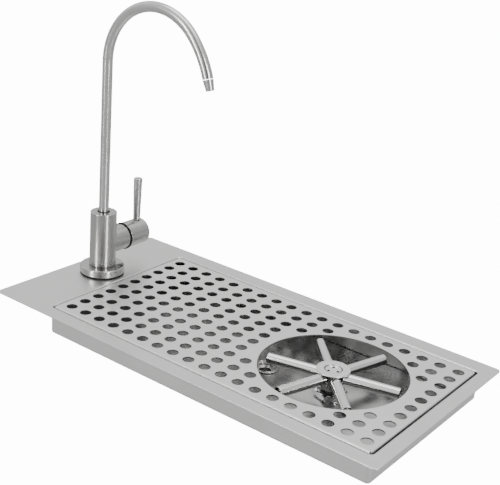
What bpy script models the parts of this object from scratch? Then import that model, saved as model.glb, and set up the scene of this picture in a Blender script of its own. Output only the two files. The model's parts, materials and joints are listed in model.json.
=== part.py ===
"""Drop-in bar drip tray with a push-down glass rinser and a swivelling gooseneck tap.

Frame: metres, +Z up. The origin is on the underside of the tray's flange (the worktop plane),
on the tray's lengthwise centreline, 12 mm in from the tap-end edge. +X runs along the tray from
the tap to the rinser, +Y to the side of the tap that has the handle.
"""
import math

import bmesh
import bpy
from mathutils import Matrix, Vector

MM = 0.001
GAP = 0.3                      # clearance between touching pieces
SIDES = 16                     # facets round an ordinary turned piece
FINE_SIDES = 24                # facets round the large ones

# Tray: flange, basin and the grate that covers it
SHEET = 1.2
FLANGE_X = (-12.0, 388.0)
FLANGE_Y = (-101.0, 101.0)
FLANGE_CORNER = 4.5
SEAT_WIDTH = 7.5               # rim of the flange's underside that rests on the worktop
SEAT_WIDTH_TAP = 15.0          # the same beside the tap
SEAT_WIDTH_FAR = 5.25          # the same at the other end, where the basin comes closer
SEAT_RELIEF = 0.1              # room for sealing tape inside that rim
BASIN_X = (45.3, 375.3)
BASIN_Y = (-86.5, 83.5)
BASIN_CORNER = 3.0
BASIN_FLOOR = -23.4
FLOOR_UNDER = BASIN_FLOOR - SHEET
FOOT_BEND = 2.0
RIM_BEND = 1.2
GRATE_X = (46.4, 373.4)
GRATE_Y = (-85.1, 82.1)
GRATE_CORNER = 1.0
GRATE_BOTTOM = -22.7
GRATE_BEND = 1.0
PUNCH_Z = (-3.0, 4.0)
HOLE_D = 10.0
HOLE_COLUMNS = 19
HOLE_ROWS = 10
HOLE_PITCH = (17.0, 16.0)
HOLE_FIRST = (57.3, -73.5)
WEB = 2.0                      # least metal left between a hole and the rinser opening
OPENING_D = 125.0

# Axes of the fittings
TAP_X = 20.0
DRAIN_X = 220.0
RINSER_X = 286.8
GRATE_MID_Y = -1.5

# Holes for the fittings
TAP_HOLE_R = 6.2
DRAIN_HOLE_R = 8.6
RINSER_HOLE_R = 10.8
FLOOR_GASKET = 2.0
HOLE_CUT_Z = (-40.0, 10.0)     # reach of the cutters for the tray's three holes

# Drain
DRAIN_FLANGE_R = 11.8
DRAIN_BORE_R = 5.5
DRAIN_THREAD_END = -50.0
DRAIN_END = -60.0
DRAIN_NUT_FLATS = 26.0
DRAIN_NUT_LENGTH = 6.0
DRAIN_GASKET_R = 14.0

# Rinser
ARM_COUNT = 6
ARM_D = 9.2
ARM_BORE_D = 7.0
ARM_DEPTH = 3.0
ARM_START = 9.9
ARM_TIP = 57.0
ARM_Z = -4.2
ARM_PHASE = 14.35
CAP_D = 28.2
CAP_TOP = 2.0
CAP_BREAK = 0.3                # width of the broken edge round the cap
CAP_FLOOR = -0.1
CAP_POCKET_R = 7.6
CAP_BOSS_R = 8.3
CAP_SPIGOT_R = 5.5
WATERWAY_R = 4.0
HUB_D = 19.0
HUB_TOP = 0.5
TRAVEL = 4.0
HUB_BOTTOM = -14.8
STEM_D = 12.0
STEM_BORE_R = 3.0
STEM_TOP = -6.1
PISTON_R = 7.9
TAIL_R = 4.2
HOUSING_D = 20.9
HOUSING_TOP = -19.1            # the hub stops just above it, inside the nut, when pushed down
HOUSING_BORE_R = 8.3
HOUSING_END = -59.8
GLAND_LENGTH = 4.4
PISTON_TOP = -24.1
SEAL_LENGTH = 1.2
PISTON_LENGTH = 2.2
SPRING_TOP = -28.1
SPRING_BOTTOM = -49.5
HOUSING_FLANGE_R = 15.0
HOUSING_FLANGE = 3.0
SOCKET_R = 6.0
THROAT_R = 2.5
THROAT_LENGTH = 2.0
NUT_FLATS = 24.8
NUT_LENGTH = 5.0
NUT_TURN = 39.3                # degrees, where its corners point
WASHER = 0.5
WASHER_R = 12.0
GLAND_BORE_R = 6.3
GLAND_GROOVE = (7.3, 0.9)      # radius and half height
BARB_STEP = 2.0
BARB_R = (4.2, 4.9)            # root and crest
COLLAR_R = 9.0
COLLAR_LENGTH = 4.4
SPRING_TURNS = 6
SPRING_MEAN_R = 6.3
SPRING_WIRE_R = 0.6
JET_CIRCLE_R = 4.4
JET_D = 1.7
JET_PHASE = 120.0
DRILL_Z = (-1.0, 4.0)

# Tap
DECK = SHEET
GASKET_D = 41.5
GASKET_TOP = 2.5
BASE_D = 42.0
BASE_TOP = 9.6
BASE_BREAK = 0.6
BODY_D = 25.0
BODY_FOOT = 9.9
BODY_TOP = 62.7
VALVE_Z = 31.2
STUB_D = 24.5
STUB_END = 24.9
RING_D = 26.2
HANDLE_START = 27.1
HANDLE_END = 51.8
SPINDLE_R = 2.9
SPINDLE_END = 35.7
SCREW_Y = 33.0
SCREW_R = 2.0
LEVER_Y = 45.2
LEVER_TENON = (2.0, 4.5)       # radius, and height above the valve's axis
LEVER_R = (3.45, 4.3)           # foot and head
LEVER_TOP = 86.0
VALVE_R = 9.0
DISC_R = (7.5, 2.0)
BODY_BORE_R = 3.5
TUBE_SOCKET = 41.0
TUBE_SOCKET_R = 6.05
SHANK_D = 11.4
SHANK_TOP = 19.7
SHANK_END = -68.0
LOCK_RUBBER = 3.0
LOCK_FLATS = 19.0
LOCK_LENGTH = 6.0
ADAPTER_R = 8.5
ADAPTER_END = -77.0
TUBE_D = 9.5
TUBE_BORE_D = 7.5
TUBE_FOOT = 42.0
RISER_TOP = 204.0
BEND_1 = (55.8, 137.4)         # radius, degrees
BEND_2 = (86.8, 24.1)
TIP_LENGTH = 10.0
TIP_END_D = 7.2
TIP_BORE_R = 2.9
SEAL_HEIGHTS = (52.0, 48.5)
CLIP_Z = (44.0, 45.0)
BUSH_Z = (55.0, 63.2)
BUSH_R = (5.75, 5.1)

STEEL = ((0.60, 0.60, 0.59), 0.32, 1.0)
SATIN = ((0.66, 0.66, 0.65), 0.38, 1.0)
CHROME = ((0.80, 0.80, 0.80), 0.08, 1.0)
BRASS = ((0.72, 0.55, 0.25), 0.30, 1.0)
RUBBER = ((0.03, 0.03, 0.03), 0.60, 0.0)
PLASTIC = ((0.05, 0.05, 0.055), 0.42, 0.0)
CERAMIC = ((0.85, 0.84, 0.80), 0.25, 0.0)
SPRING_STEEL = ((0.50, 0.50, 0.50), 0.25, 1.0)

Z_AXIS = Vector((0.0, 0.0, 1.0))
Y_AXIS = Vector((0.0, 1.0, 0.0))


def clear_scene():
    """Remove everything the file opened with."""
    for item in list(bpy.data.objects):
        bpy.data.objects.remove(item, do_unlink=True)


def material(name, look):
    """One Principled material with the given colour, roughness and metallic value."""
    colour, roughness, metallic = look
    made = bpy.data.materials.new(name)
    made.use_nodes = True
    shader = made.node_tree.nodes["Principled BSDF"]
    shader.inputs["Base Color"].default_value = (*colour, 1.0)
    shader.inputs["Roughness"].default_value = roughness
    shader.inputs["Metallic"].default_value = metallic
    made.diffuse_color = (*colour, 1.0)
    return made


def add_object(name, shape, look=None, parent=None, cutter=False):
    """Turn a bmesh in millimetres into a named object in metres."""
    bmesh.ops.scale(shape, vec=(MM, MM, MM), verts=shape.verts)
    bmesh.ops.recalc_face_normals(shape, faces=shape.faces)
    mesh = bpy.data.meshes.new(name)
    shape.to_mesh(mesh)
    shape.free()
    item = bpy.data.objects.new(name, mesh)
    bpy.context.scene.collection.objects.link(item)
    if cutter:
        item.hide_render = True
        item.display_type = "WIRE"
    else:
        mesh.materials.append(material(name + "_finish", look))
        mesh.shade_smooth()
        mesh.set_sharp_from_angle(angle=math.radians(35.0))
    if parent is not None:
        item.parent = parent
        item.matrix_parent_inverse = parent.matrix_world.inverted()
    return item


def add_pivot(name, place):
    """An empty on a joint's axis, which carries the pieces that move with the joint."""
    pivot = bpy.data.objects.new(name, None)
    pivot.location = Vector(place) * MM
    bpy.context.scene.collection.objects.link(pivot)
    bpy.context.view_layer.update()
    return pivot


def ring_points(count, phase=0.0):
    """Directions round a circle, as (cos, sin) pairs."""
    angles = [math.radians(phase) + 2.0 * math.pi * i / count for i in range(count)]
    return [(math.cos(a), math.sin(a)) for a in angles]


def axis_matrix(place, axis):
    """Matrix that stands a shape made round +Z at place, with +Z turned to axis."""
    turn = Z_AXIS.rotation_difference(Vector(axis)).to_matrix().to_4x4()
    return Matrix.Translation(Vector(place)) @ turn


def lathe(profile, place, axis=Z_AXIS, sides=SIDES, phase=0.0):
    """Spin a closed profile of (radius, height) points round an axis.

    A profile that starts and ends at radius 0 gives a solid; any other gives a ring.
    phase turns the facets, so that a cutter's edges don't meet its target's.
    """
    shape = bmesh.new()
    loops = []
    for radius, height in profile:
        if radius < 1e-6:
            loops.append([shape.verts.new((0.0, 0.0, height))])
        else:
            loops.append([shape.verts.new((c * radius, s * radius, height))
                          for c, s in ring_points(sides, phase)])
    closed = len(loops[0]) > 1
    pairs = list(zip(loops, loops[1:] + loops[:1])) if closed else list(zip(loops, loops[1:]))
    for low, high in pairs:
        for i in range(sides):
            j = (i + 1) % sides
            corners = [low[i % len(low)], low[j % len(low)], high[j % len(high)], high[i % len(high)]]
            shape.faces.new(list(dict.fromkeys(corners)))
    bmesh.ops.transform(shape, matrix=axis_matrix(place, axis), verts=shape.verts)
    return shape


def rod(radius, low, high, place, axis=Z_AXIS, sides=SIDES, phase=0.0):
    """A plain cylinder between two heights along an axis."""
    return lathe([(0.0, low), (radius, low), (radius, high), (0.0, high)], place, axis, sides, phase)


def tube(outer, inner, low, high, place, axis=Z_AXIS, sides=SIDES):
    """A plain tube between two heights along an axis."""
    profile = [(inner, low), (outer, low), (outer, high), (inner, high)]
    return lathe(profile, place, axis, sides)


def o_ring(mean, wire, height, place, axis=Z_AXIS):
    """A rubber ring of round section."""
    profile = [(mean + wire * c, height + wire * s) for c, s in ring_points(6)]
    return lathe(profile, place, axis)


def hex_nut(flats, bore, low, high, place, chamfer=0.5, phase=0.0):
    """A hexagon nut with its top edge chamfered, as five loops round its bore."""
    sides = FINE_SIDES
    shape = bmesh.new()

    def loop(radius, height, hexagonal):
        verts = []
        for c, s in ring_points(sides):
            turn = math.atan2(s, c) % (math.pi / 3.0) - math.pi / 6.0
            reach = min(radius, 0.5 * flats / math.cos(turn)) if hexagonal else radius
            verts.append(shape.verts.new((c * reach, s * reach, height)))
        return verts

    corner = 0.5 * flats / math.cos(math.pi / 6.0)
    loops = [loop(bore, low, False), loop(corner, low, True), loop(corner, high - chamfer, True),
             loop(0.5 * flats, high, True), loop(bore, high, False)]
    for first, second in zip(loops, loops[1:] + loops[:1]):
        for i in range(sides):
            j = (i + 1) % sides
            shape.faces.new((first[i], first[j], second[j], second[i]))
    turn = Matrix.Rotation(math.radians(phase), 4, "Z")
    bmesh.ops.transform(shape, matrix=axis_matrix(place, Z_AXIS) @ turn, verts=shape.verts)
    return shape


def rounded_rectangle(x_range, y_range, radius, steps=3):
    """Corner-rounded outline, anticlockwise, as (x, y) points."""
    points = []
    corners = ((x_range[1], y_range[1], 0.0), (x_range[0], y_range[1], 90.0),
               (x_range[0], y_range[0], 180.0), (x_range[1], y_range[0], 270.0))
    for x, y, start in corners:
        cx = x - radius if start in (0.0, 270.0) else x + radius
        cy = y - radius if start in (0.0, 90.0) else y + radius
        for i in range(steps + 1):
            angle = math.radians(start + 90.0 * i / steps)
            points.append((cx + radius * math.cos(angle), cy + radius * math.sin(angle)))
    return points


def grown(span, amount):
    """A range made larger by the same amount at both ends."""
    return (span[0] - amount, span[1] + amount)


def skin_loops(outlines):
    """Close a shape from a chain of equal outlines, each (points, height), with flat ends."""
    shape = bmesh.new()
    loops = [[shape.verts.new((x, y, z)) for x, y in points] for points, z in outlines]
    count = len(loops[0])
    for first, second in zip(loops, loops[1:]):
        for i in range(count):
            j = (i + 1) % count
            shape.faces.new((first[i], first[j], second[j], second[i]))
    shape.faces.new(list(reversed(loops[0])))
    shape.faces.new(loops[-1])
    return shape


def cut(target, cutters):
    """Subtract each cutter from the target with an exact Boolean."""
    for cutter in cutters:
        step = target.modifiers.new("cut_" + cutter.name, "BOOLEAN")
        step.operation = "DIFFERENCE"
        step.object = cutter


def make_basin_tray():
    """Flange and basin pressed from one sheet, with three holes for the fittings."""
    def basin(amount, radius):
        return rounded_rectangle(grown(BASIN_X, amount), grown(BASIN_Y, amount), radius)

    flange = rounded_rectangle(FLANGE_X, FLANGE_Y, FLANGE_CORNER)
    seat_x = (FLANGE_X[0] + SEAT_WIDTH_TAP, FLANGE_X[1] - SEAT_WIDTH_FAR)
    seat = rounded_rectangle(seat_x, grown(FLANGE_Y, -SEAT_WIDTH), FLANGE_CORNER)
    inner = BASIN_CORNER
    outer = BASIN_CORNER + SHEET
    inset = -0.3 * FOOT_BEND
    outlines = [
        (basin(-FOOT_BEND, 1.2), BASIN_FLOOR),
        (basin(inset, 2.4), BASIN_FLOOR - inset),
        (basin(0.0, inner), BASIN_FLOOR + FOOT_BEND),
        (basin(0.0, inner), SHEET - RIM_BEND),
        (basin(0.3 * RIM_BEND, inner + 0.4), SHEET - 0.3 * RIM_BEND),
        (basin(RIM_BEND, inner + RIM_BEND), SHEET),
        (flange, SHEET),
        (flange, 0.0),
        (seat, 0.0),
        (seat, SEAT_RELIEF),
        (basin(SHEET, outer), SEAT_RELIEF),
        (basin(SHEET, outer), FLOOR_UNDER + FOOT_BEND),
        (basin(SHEET + inset, 3.6), FLOOR_UNDER - inset),
        (basin(SHEET - FOOT_BEND, 2.4), FLOOR_UNDER),
    ]
    tray = add_object("basin_tray", skin_loops(outlines), STEEL)
    holes = (("tap_hole", TAP_HOLE_R, TAP_X, 0.0), ("drain_hole", DRAIN_HOLE_R, DRAIN_X, GRATE_MID_Y),
             ("rinser_hole", RINSER_HOLE_R, RINSER_X, GRATE_MID_Y))
    low, high = HOLE_CUT_Z
    cut(tray, [add_object(name, rod(radius, low, high, (x, y, 0.0)), cutter=True)
               for name, radius, x, y in holes])


def hole_centres():
    """Centres of the grate's small holes: a full grid less those the rinser opening takes."""
    reach = 0.5 * (OPENING_D + HOLE_D) + WEB
    for row in range(HOLE_ROWS):
        for column in range(HOLE_COLUMNS):
            x = HOLE_FIRST[0] + column * HOLE_PITCH[0]
            y = HOLE_FIRST[1] + row * HOLE_PITCH[1]
            if math.hypot(x - RINSER_X, y - GRATE_MID_Y) > reach:
                yield x, y


def make_grate():
    """Perforated cover plate with its four edges folded down to the basin floor."""
    def plate(amount, radius):
        return rounded_rectangle(grown(GRATE_X, amount), grown(GRATE_Y, amount), radius, 2)

    outlines = [
        (plate(-SHEET, 0.4), 0.0),
        (plate(-SHEET, 0.4), GRATE_BOTTOM),
        (plate(0.0, GRATE_CORNER), GRATE_BOTTOM),
        (plate(0.0, GRATE_CORNER), SHEET - GRATE_BEND),
        (plate(-GRATE_BEND, 0.5), SHEET),
    ]
    grate = add_object("grate", skin_loops(outlines), SATIN)
    punch = bmesh.new()
    tools = [(x, y, 0.5 * HOLE_D, 10) for x, y in hole_centres()]
    tools.append((RINSER_X, GRATE_MID_Y, 0.5 * OPENING_D, 64))
    for x, y, radius, sides in tools:
        low = [punch.verts.new((x + c * radius, y + s * radius, PUNCH_Z[0])) for c, s in ring_points(sides)]
        high = [punch.verts.new((x + c * radius, y + s * radius, PUNCH_Z[1])) for c, s in ring_points(sides)]
        punch.faces.new(list(reversed(low)))
        punch.faces.new(high)
        for i in range(sides):
            j = (i + 1) % sides
            punch.faces.new((low[i], low[j], high[j], high[i]))
    cut(grate, [add_object("grate_punch", punch, cutter=True)])


def make_drain():
    """Flanged waste outlet through the basin floor, with its seal and nut underneath."""
    place = (DRAIN_X, GRATE_MID_Y, 0.0)
    seat = BASIN_FLOOR + GAP
    thread_r = DRAIN_HOLE_R - 0.4
    spigot_r = thread_r - 1.0
    body = [(DRAIN_BORE_R, DRAIN_END), (spigot_r, DRAIN_END), (spigot_r, DRAIN_THREAD_END),
            (thread_r, DRAIN_THREAD_END + 2.0), (thread_r, seat), (DRAIN_FLANGE_R - 0.4, seat),
            (DRAIN_FLANGE_R, seat + 0.5), (DRAIN_FLANGE_R - 0.4, seat + 1.0), (thread_r + 0.6, seat + 1.0),
            (thread_r - 0.4, seat - 1.0), (DRAIN_BORE_R, seat - 3.0)]
    add_object("drain_body", lathe(body, place), SATIN)
    under = FLOOR_UNDER - GAP
    gasket = tube(DRAIN_GASKET_R, DRAIN_HOLE_R, under - FLOOR_GASKET, under, place)
    add_object("drain_gasket", gasket, RUBBER)
    nut_top = under - FLOOR_GASKET - GAP
    nut = hex_nut(DRAIN_NUT_FLATS, DRAIN_HOLE_R, nut_top - DRAIN_NUT_LENGTH, nut_top, place)
    add_object("drain_nut", nut, PLASTIC)


def make_rinser_base():
    """Fixed half of the rinser: threaded housing through the floor, its fixings and gland."""
    place = (RINSER_X, GRATE_MID_Y, 0.0)
    outer = 0.5 * HOUSING_D
    under = FLOOR_UNDER - GAP
    flange = under - FLOOR_GASKET - GAP
    flange_end = flange - HOUSING_FLANGE
    step = SPRING_BOTTOM - GAP
    throat_end = step - THROAT_LENGTH
    housing = [(HOUSING_BORE_R, HOUSING_TOP), (HOUSING_BORE_R, step), (THROAT_R, step),
               (THROAT_R, throat_end), (SOCKET_R, throat_end), (SOCKET_R, HOUSING_END),
               (outer, HOUSING_END), (outer, flange_end), (HOUSING_FLANGE_R, flange_end),
               (HOUSING_FLANGE_R, flange), (outer, flange), (outer, HOUSING_TOP)]
    add_object("rinser_housing", lathe(housing, place), CHROME)
    gasket = tube(HOUSING_FLANGE_R, RINSER_HOLE_R, under - FLOOR_GASKET, under, place)
    add_object("rinser_gasket", gasket, RUBBER)
    seat = BASIN_FLOOR + GAP
    add_object("rinser_washer", tube(WASHER_R, RINSER_HOLE_R, seat, seat + WASHER, place), CHROME)
    nut = seat + WASHER + GAP
    nut_shape = hex_nut(NUT_FLATS, RINSER_HOLE_R, nut, nut + NUT_LENGTH, place, 0.4, NUT_TURN)
    add_object("rinser_nut", nut_shape, CHROME)
    gland_top = HOUSING_TOP - GAP
    groove = gland_top - 0.5 * GLAND_LENGTH
    gland_end = gland_top - GLAND_LENGTH
    floor_r, half = GLAND_GROOVE
    body_r = HOUSING_BORE_R - GAP
    gland = [(GLAND_BORE_R, gland_top), (GLAND_BORE_R, groove + half), (floor_r, groove + half),
             (floor_r, groove - half), (GLAND_BORE_R, groove - half), (GLAND_BORE_R, gland_end),
             (body_r, gland_end), (body_r, gland_top)]
    add_object("rinser_gland", lathe(gland, place), PLASTIC)
    add_object("gland_o_ring", o_ring(6.7, 0.5, groove, place), RUBBER)
    collar = HOUSING_END - GAP
    tail = collar - COLLAR_LENGTH
    barbs = [(BARB_R[i % 2], tail - BARB_STEP * i) for i in range(6)]
    nose = barbs[-1][1] - 1.0
    plug_r = SOCKET_R - GAP
    inlet = [(THROAT_R, throat_end - GAP), (plug_r, throat_end - GAP), (plug_r, collar),
             (COLLAR_R, collar), (COLLAR_R, tail)] + barbs + [(BARB_R[0], nose), (THROAT_R, nose)]
    add_object("rinser_inlet", lathe(inlet, place), BRASS)
    add_object("rinser_spring", coil_spring(place), SPRING_STEEL)


def coil_spring(place):
    """Helical wire with a round section, swept turn by turn."""
    steps = 8 * SPRING_TURNS
    low = SPRING_BOTTOM + SPRING_WIRE_R + GAP
    high = SPRING_TOP - SPRING_WIRE_R - GAP
    shape = bmesh.new()
    loops = []
    for step in range(steps + 1):
        angle = 2.0 * math.pi * SPRING_TURNS * step / steps
        outward = Vector((math.cos(angle), math.sin(angle), 0.0))
        centre = outward * SPRING_MEAN_R + Z_AXIS * (low + (high - low) * step / steps)
        loops.append([shape.verts.new(centre + (outward * c + Z_AXIS * s) * SPRING_WIRE_R)
                      for c, s in ring_points(6)])
    for first, second in zip(loops, loops[1:]):
        for i in range(6):
            j = (i + 1) % 6
            shape.faces.new((first[i], first[j], second[j], second[i]))
    shape.faces.new(list(reversed(loops[0])))
    shape.faces.new(loops[-1])
    bmesh.ops.translate(shape, vec=Vector(place), verts=shape.verts)
    return shape


def make_rinser_head():
    """Moving half of the rinser: stem, hub, six arms, cap and jet insert."""
    place = (RINSER_X, GRATE_MID_Y, 0.0)
    slider = add_pivot("rinser_slide", place)
    stem_r = 0.5 * STEM_D
    seal_end = PISTON_TOP - SEAL_LENGTH
    piston = seal_end - GAP
    piston_end = piston - PISTON_LENGTH
    tail = SPRING_BOTTOM + TRAVEL
    blind = piston + 2.6
    stem = [(0.0, tail), (TAIL_R, tail), (TAIL_R, piston_end), (PISTON_R, piston_end),
            (PISTON_R, piston), (stem_r, piston), (stem_r, STEM_TOP), (STEM_BORE_R, STEM_TOP),
            (STEM_BORE_R, blind), (0.0, blind)]
    add_object("rinser_stem", lathe(stem, place), SATIN, slider)
    seal = tube(PISTON_R, stem_r + GAP, seal_end, PISTON_TOP, place)
    add_object("piston_seal", seal, RUBBER, slider)
    half = 0.5 * HUB_D
    step = STEM_TOP + GAP
    shelf = step + 1.0
    ledge = shelf + 3.0
    hub = [(half, HUB_BOTTOM), (half, HUB_TOP), (CAP_BOSS_R + GAP, HUB_TOP), (CAP_BOSS_R + GAP, ledge),
           (CAP_SPIGOT_R + GAP, ledge), (CAP_SPIGOT_R + GAP, shelf), (WATERWAY_R, shelf),
           (WATERWAY_R, step), (stem_r + GAP, step), (stem_r + GAP, HUB_BOTTOM)]
    add_object("rinser_hub", lathe(hub, place), SATIN, slider)
    cap_r = 0.5 * CAP_D
    brim = HUB_TOP + GAP
    cap = [(WATERWAY_R, shelf + GAP), (CAP_SPIGOT_R, shelf + GAP), (CAP_SPIGOT_R, ledge + GAP),
           (CAP_BOSS_R, ledge + GAP), (CAP_BOSS_R, brim), (cap_r, brim), (cap_r, CAP_TOP - CAP_BREAK),
           (cap_r - CAP_BREAK, CAP_TOP), (CAP_POCKET_R, CAP_TOP), (CAP_POCKET_R, CAP_FLOOR),
           (WATERWAY_R, CAP_FLOOR)]
    add_object("rinser_cap", lathe(cap, place, sides=FINE_SIDES), SATIN, slider)
    plate = rod(CAP_POCKET_R - GAP, CAP_FLOOR + GAP, CAP_TOP - CAP_BREAK, place)
    insert = add_object("jet_insert", plate, SATIN, slider)
    jets = []
    for number, (c, s) in enumerate(ring_points(3, JET_PHASE), 1):
        spot = (place[0] + JET_CIRCLE_R * c, place[1] + JET_CIRCLE_R * s, 0.0)
        drill = rod(0.5 * JET_D, *DRILL_Z, spot, sides=8)
        jets.append(add_object(f"jet_drill_{number}", drill, cutter=True))
    cut(insert, jets)
    arm_r = 0.5 * ARM_D
    bore_r = 0.5 * ARM_BORE_D
    arm = [(0.0, ARM_START), (arm_r, ARM_START), (arm_r, ARM_TIP), (bore_r, ARM_TIP),
           (bore_r, ARM_TIP - ARM_DEPTH), (0.0, ARM_TIP - ARM_DEPTH)]
    for number, (c, s) in enumerate(ring_points(ARM_COUNT, ARM_PHASE), 1):
        root = (place[0], place[1], ARM_Z)
        shape = lathe(arm, root, (c, s, 0.0))
        add_object(f"rinser_arm_{number}", shape, SATIN, slider)


def make_tap_base():
    """Tap body and everything that clamps it to the flange and feeds it."""
    place = (TAP_X, 0.0, 0.0)
    gasket = tube(0.5 * GASKET_D, TAP_HOLE_R, DECK + GAP, GASKET_TOP, place, sides=FINE_SIDES)
    add_object("tap_gasket", gasket, RUBBER)
    base_r = 0.5 * BASE_D
    foot = GASKET_TOP + GAP
    base = [(TAP_HOLE_R, foot), (base_r, foot), (base_r, BASE_TOP - BASE_BREAK),
            (base_r - BASE_BREAK, BASE_TOP), (TAP_HOLE_R, BASE_TOP)]
    add_object("tap_base_ring", lathe(base, place, sides=FINE_SIDES), STEEL)
    body_r = 0.5 * BODY_D
    column = rod(body_r, BODY_FOOT, BODY_TOP, place, sides=FINE_SIDES)
    body = add_object("tap_body", column, STEEL)
    stub_shape = rod(0.5 * STUB_D, 1.0, STUB_END, (TAP_X, 0.0, VALVE_Z), Y_AXIS, FINE_SIDES, 4.0)
    stub = add_object("valve_stub", stub_shape, cutter=True)
    join = body.modifiers.new("join_stub", "BOOLEAN")
    join.operation = "UNION"
    join.object = stub
    socket_r = 0.5 * SHANK_D + GAP
    core = [(0.0, 0.0), (socket_r, 0.0), (socket_r, SHANK_TOP + GAP), (BODY_BORE_R, SHANK_TOP + GAP),
            (BODY_BORE_R, TUBE_SOCKET), (TUBE_SOCKET_R, TUBE_SOCKET), (TUBE_SOCKET_R, 80.0), (0.0, 80.0)]
    bore = rod(VALVE_R + GAP, 3.0, 40.0, (TAP_X, 0.0, VALVE_Z), Y_AXIS, phase=7.0)
    cut(body, [
        add_object("body_core", lathe(core, place, phase=5.0), cutter=True),
        add_object("valve_bore", bore, cutter=True),
    ])
    add_object("tap_shank", tube(0.5 * SHANK_D, BODY_BORE_R, SHANK_END, SHANK_TOP, place), BRASS)
    rubber_end = -GAP - LOCK_RUBBER
    metal_end = rubber_end - GAP - SHEET
    lock_top = metal_end - GAP
    add_object("shank_rubber_washer", tube(14.0, socket_r, rubber_end, -GAP, place), RUBBER)
    add_object("shank_metal_washer", tube(13.0, socket_r, metal_end, rubber_end - GAP, place), STEEL)
    lock = hex_nut(LOCK_FLATS, socket_r, lock_top - LOCK_LENGTH, lock_top, place)
    add_object("shank_lock_nut", lock, BRASS)
    neck = SHANK_END - GAP
    mouth = neck - 2.0
    adapter = [(socket_r, neck + 10.3), (socket_r, neck), (3.3, neck), (3.3, mouth), (5.8, mouth),
               (5.8, ADAPTER_END), (ADAPTER_R, ADAPTER_END), (ADAPTER_R, neck + 10.3)]
    add_object("tap_inlet_adapter", lathe(adapter, place), PLASTIC)
    add_object("inlet_collet", tube(5.5, 3.4, ADAPTER_END - 1.5, mouth - GAP, place), PLASTIC)


def make_valve():
    """Quarter-turn valve cartridge and ceramic discs in the tap's side stub."""
    place = (TAP_X, 0.0, VALVE_Z)
    recess_r = DISC_R[0] + GAP
    guide_r = SPINDLE_R + GAP
    cartridge = [(VALVE_R, 3.5), (VALVE_R, 24.0), (guide_r, 24.0), (guide_r, 9.5), (recess_r, 9.5),
                 (recess_r, 3.5)]
    add_object("valve_cartridge", lathe(cartridge, place, Y_AXIS), BRASS)
    add_object("fixed_ceramic_disc", tube(*DISC_R, 3.8, 5.8, place, Y_AXIS), CERAMIC)
    ring = tube(0.5 * RING_D, 6.0, STUB_END + GAP, HANDLE_START - GAP, place, Y_AXIS, FINE_SIDES)
    add_object("valve_ring", ring, RUBBER)


def make_handle():
    """Everything that turns with the lever, round the valve's axis."""
    place = (TAP_X, 0.0, VALVE_Z)
    pivot = add_pivot("handle_axis", place)
    add_object("moving_ceramic_disc", tube(*DISC_R, 6.1, 8.1, place, Y_AXIS), CERAMIC, pivot)
    spindle = [(0.0, 8.4), (4.5, 8.4), (4.5, 9.2), (SPINDLE_R, 9.2), (SPINDLE_R, SPINDLE_END),
               (0.0, SPINDLE_END)]
    add_object("valve_spindle", lathe(spindle, place, Y_AXIS), BRASS, pivot)
    hub_r = 0.5 * BODY_D
    socket_r = SPINDLE_R + GAP
    socket_end = SPINDLE_END + GAP
    hub = [(0.0, socket_end), (socket_r, socket_end), (socket_r, HANDLE_START), (hub_r, HANDLE_START),
           (hub_r, HANDLE_END - 0.8), (hub_r - 0.8, HANDLE_END), (0.0, HANDLE_END)]
    handle = add_object("handle_hub", lathe(hub, place, Y_AXIS, FINE_SIDES), STEEL, pivot)
    lever_at = (TAP_X, LEVER_Y, 0.0)
    screw_at = (TAP_X, SCREW_Y, 0.0)
    tenon_r, tenon_rise = LEVER_TENON
    tenon = VALVE_Z + tenon_rise
    lever_hole = rod(tenon_r + GAP, tenon - 0.5, VALVE_Z + 20.0, lever_at, phase=5.0)
    screw_hole = rod(SCREW_R + GAP, VALVE_Z - 20.0, VALVE_Z - 1.0, screw_at, phase=5.0)
    cut(handle, [
        add_object("lever_socket", lever_hole, cutter=True),
        add_object("screw_socket", screw_hole, cutter=True),
    ])
    foot = VALVE_Z + hub_r + GAP
    foot_r, head_r = LEVER_R
    lever = [(0.0, tenon), (tenon_r, tenon), (tenon_r, foot), (foot_r, foot),
             (head_r, LEVER_TOP - 0.5), (head_r - 0.5, LEVER_TOP), (0.0, LEVER_TOP)]
    add_object("handle_lever", lathe(lever, lever_at), STEEL, pivot)
    screw = rod(SCREW_R, VALVE_Z - 11.5, VALVE_Z - SPINDLE_R - 0.4, screw_at, sides=12)
    add_object("handle_grub_screw", screw, STEEL, pivot)


def spout_path():
    """Centreline of the gooseneck in the tap's own X-Z plane, as (x, z, heading) triples."""
    points = [(0.0, TUBE_FOOT, 0.0), (0.0, RISER_TOP, 0.0)]
    heading = 0.0
    x, z = 0.0, RISER_TOP
    for radius, sweep in (BEND_1, BEND_2):
        steps = round(sweep / 8.0)
        turn = math.radians(sweep) / steps
        for _ in range(steps):
            x += radius * (math.cos(heading) - math.cos(heading + turn))
            z += radius * (math.sin(heading + turn) - math.sin(heading))
            heading += turn
            points.append((x, z, heading))
    return points


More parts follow.
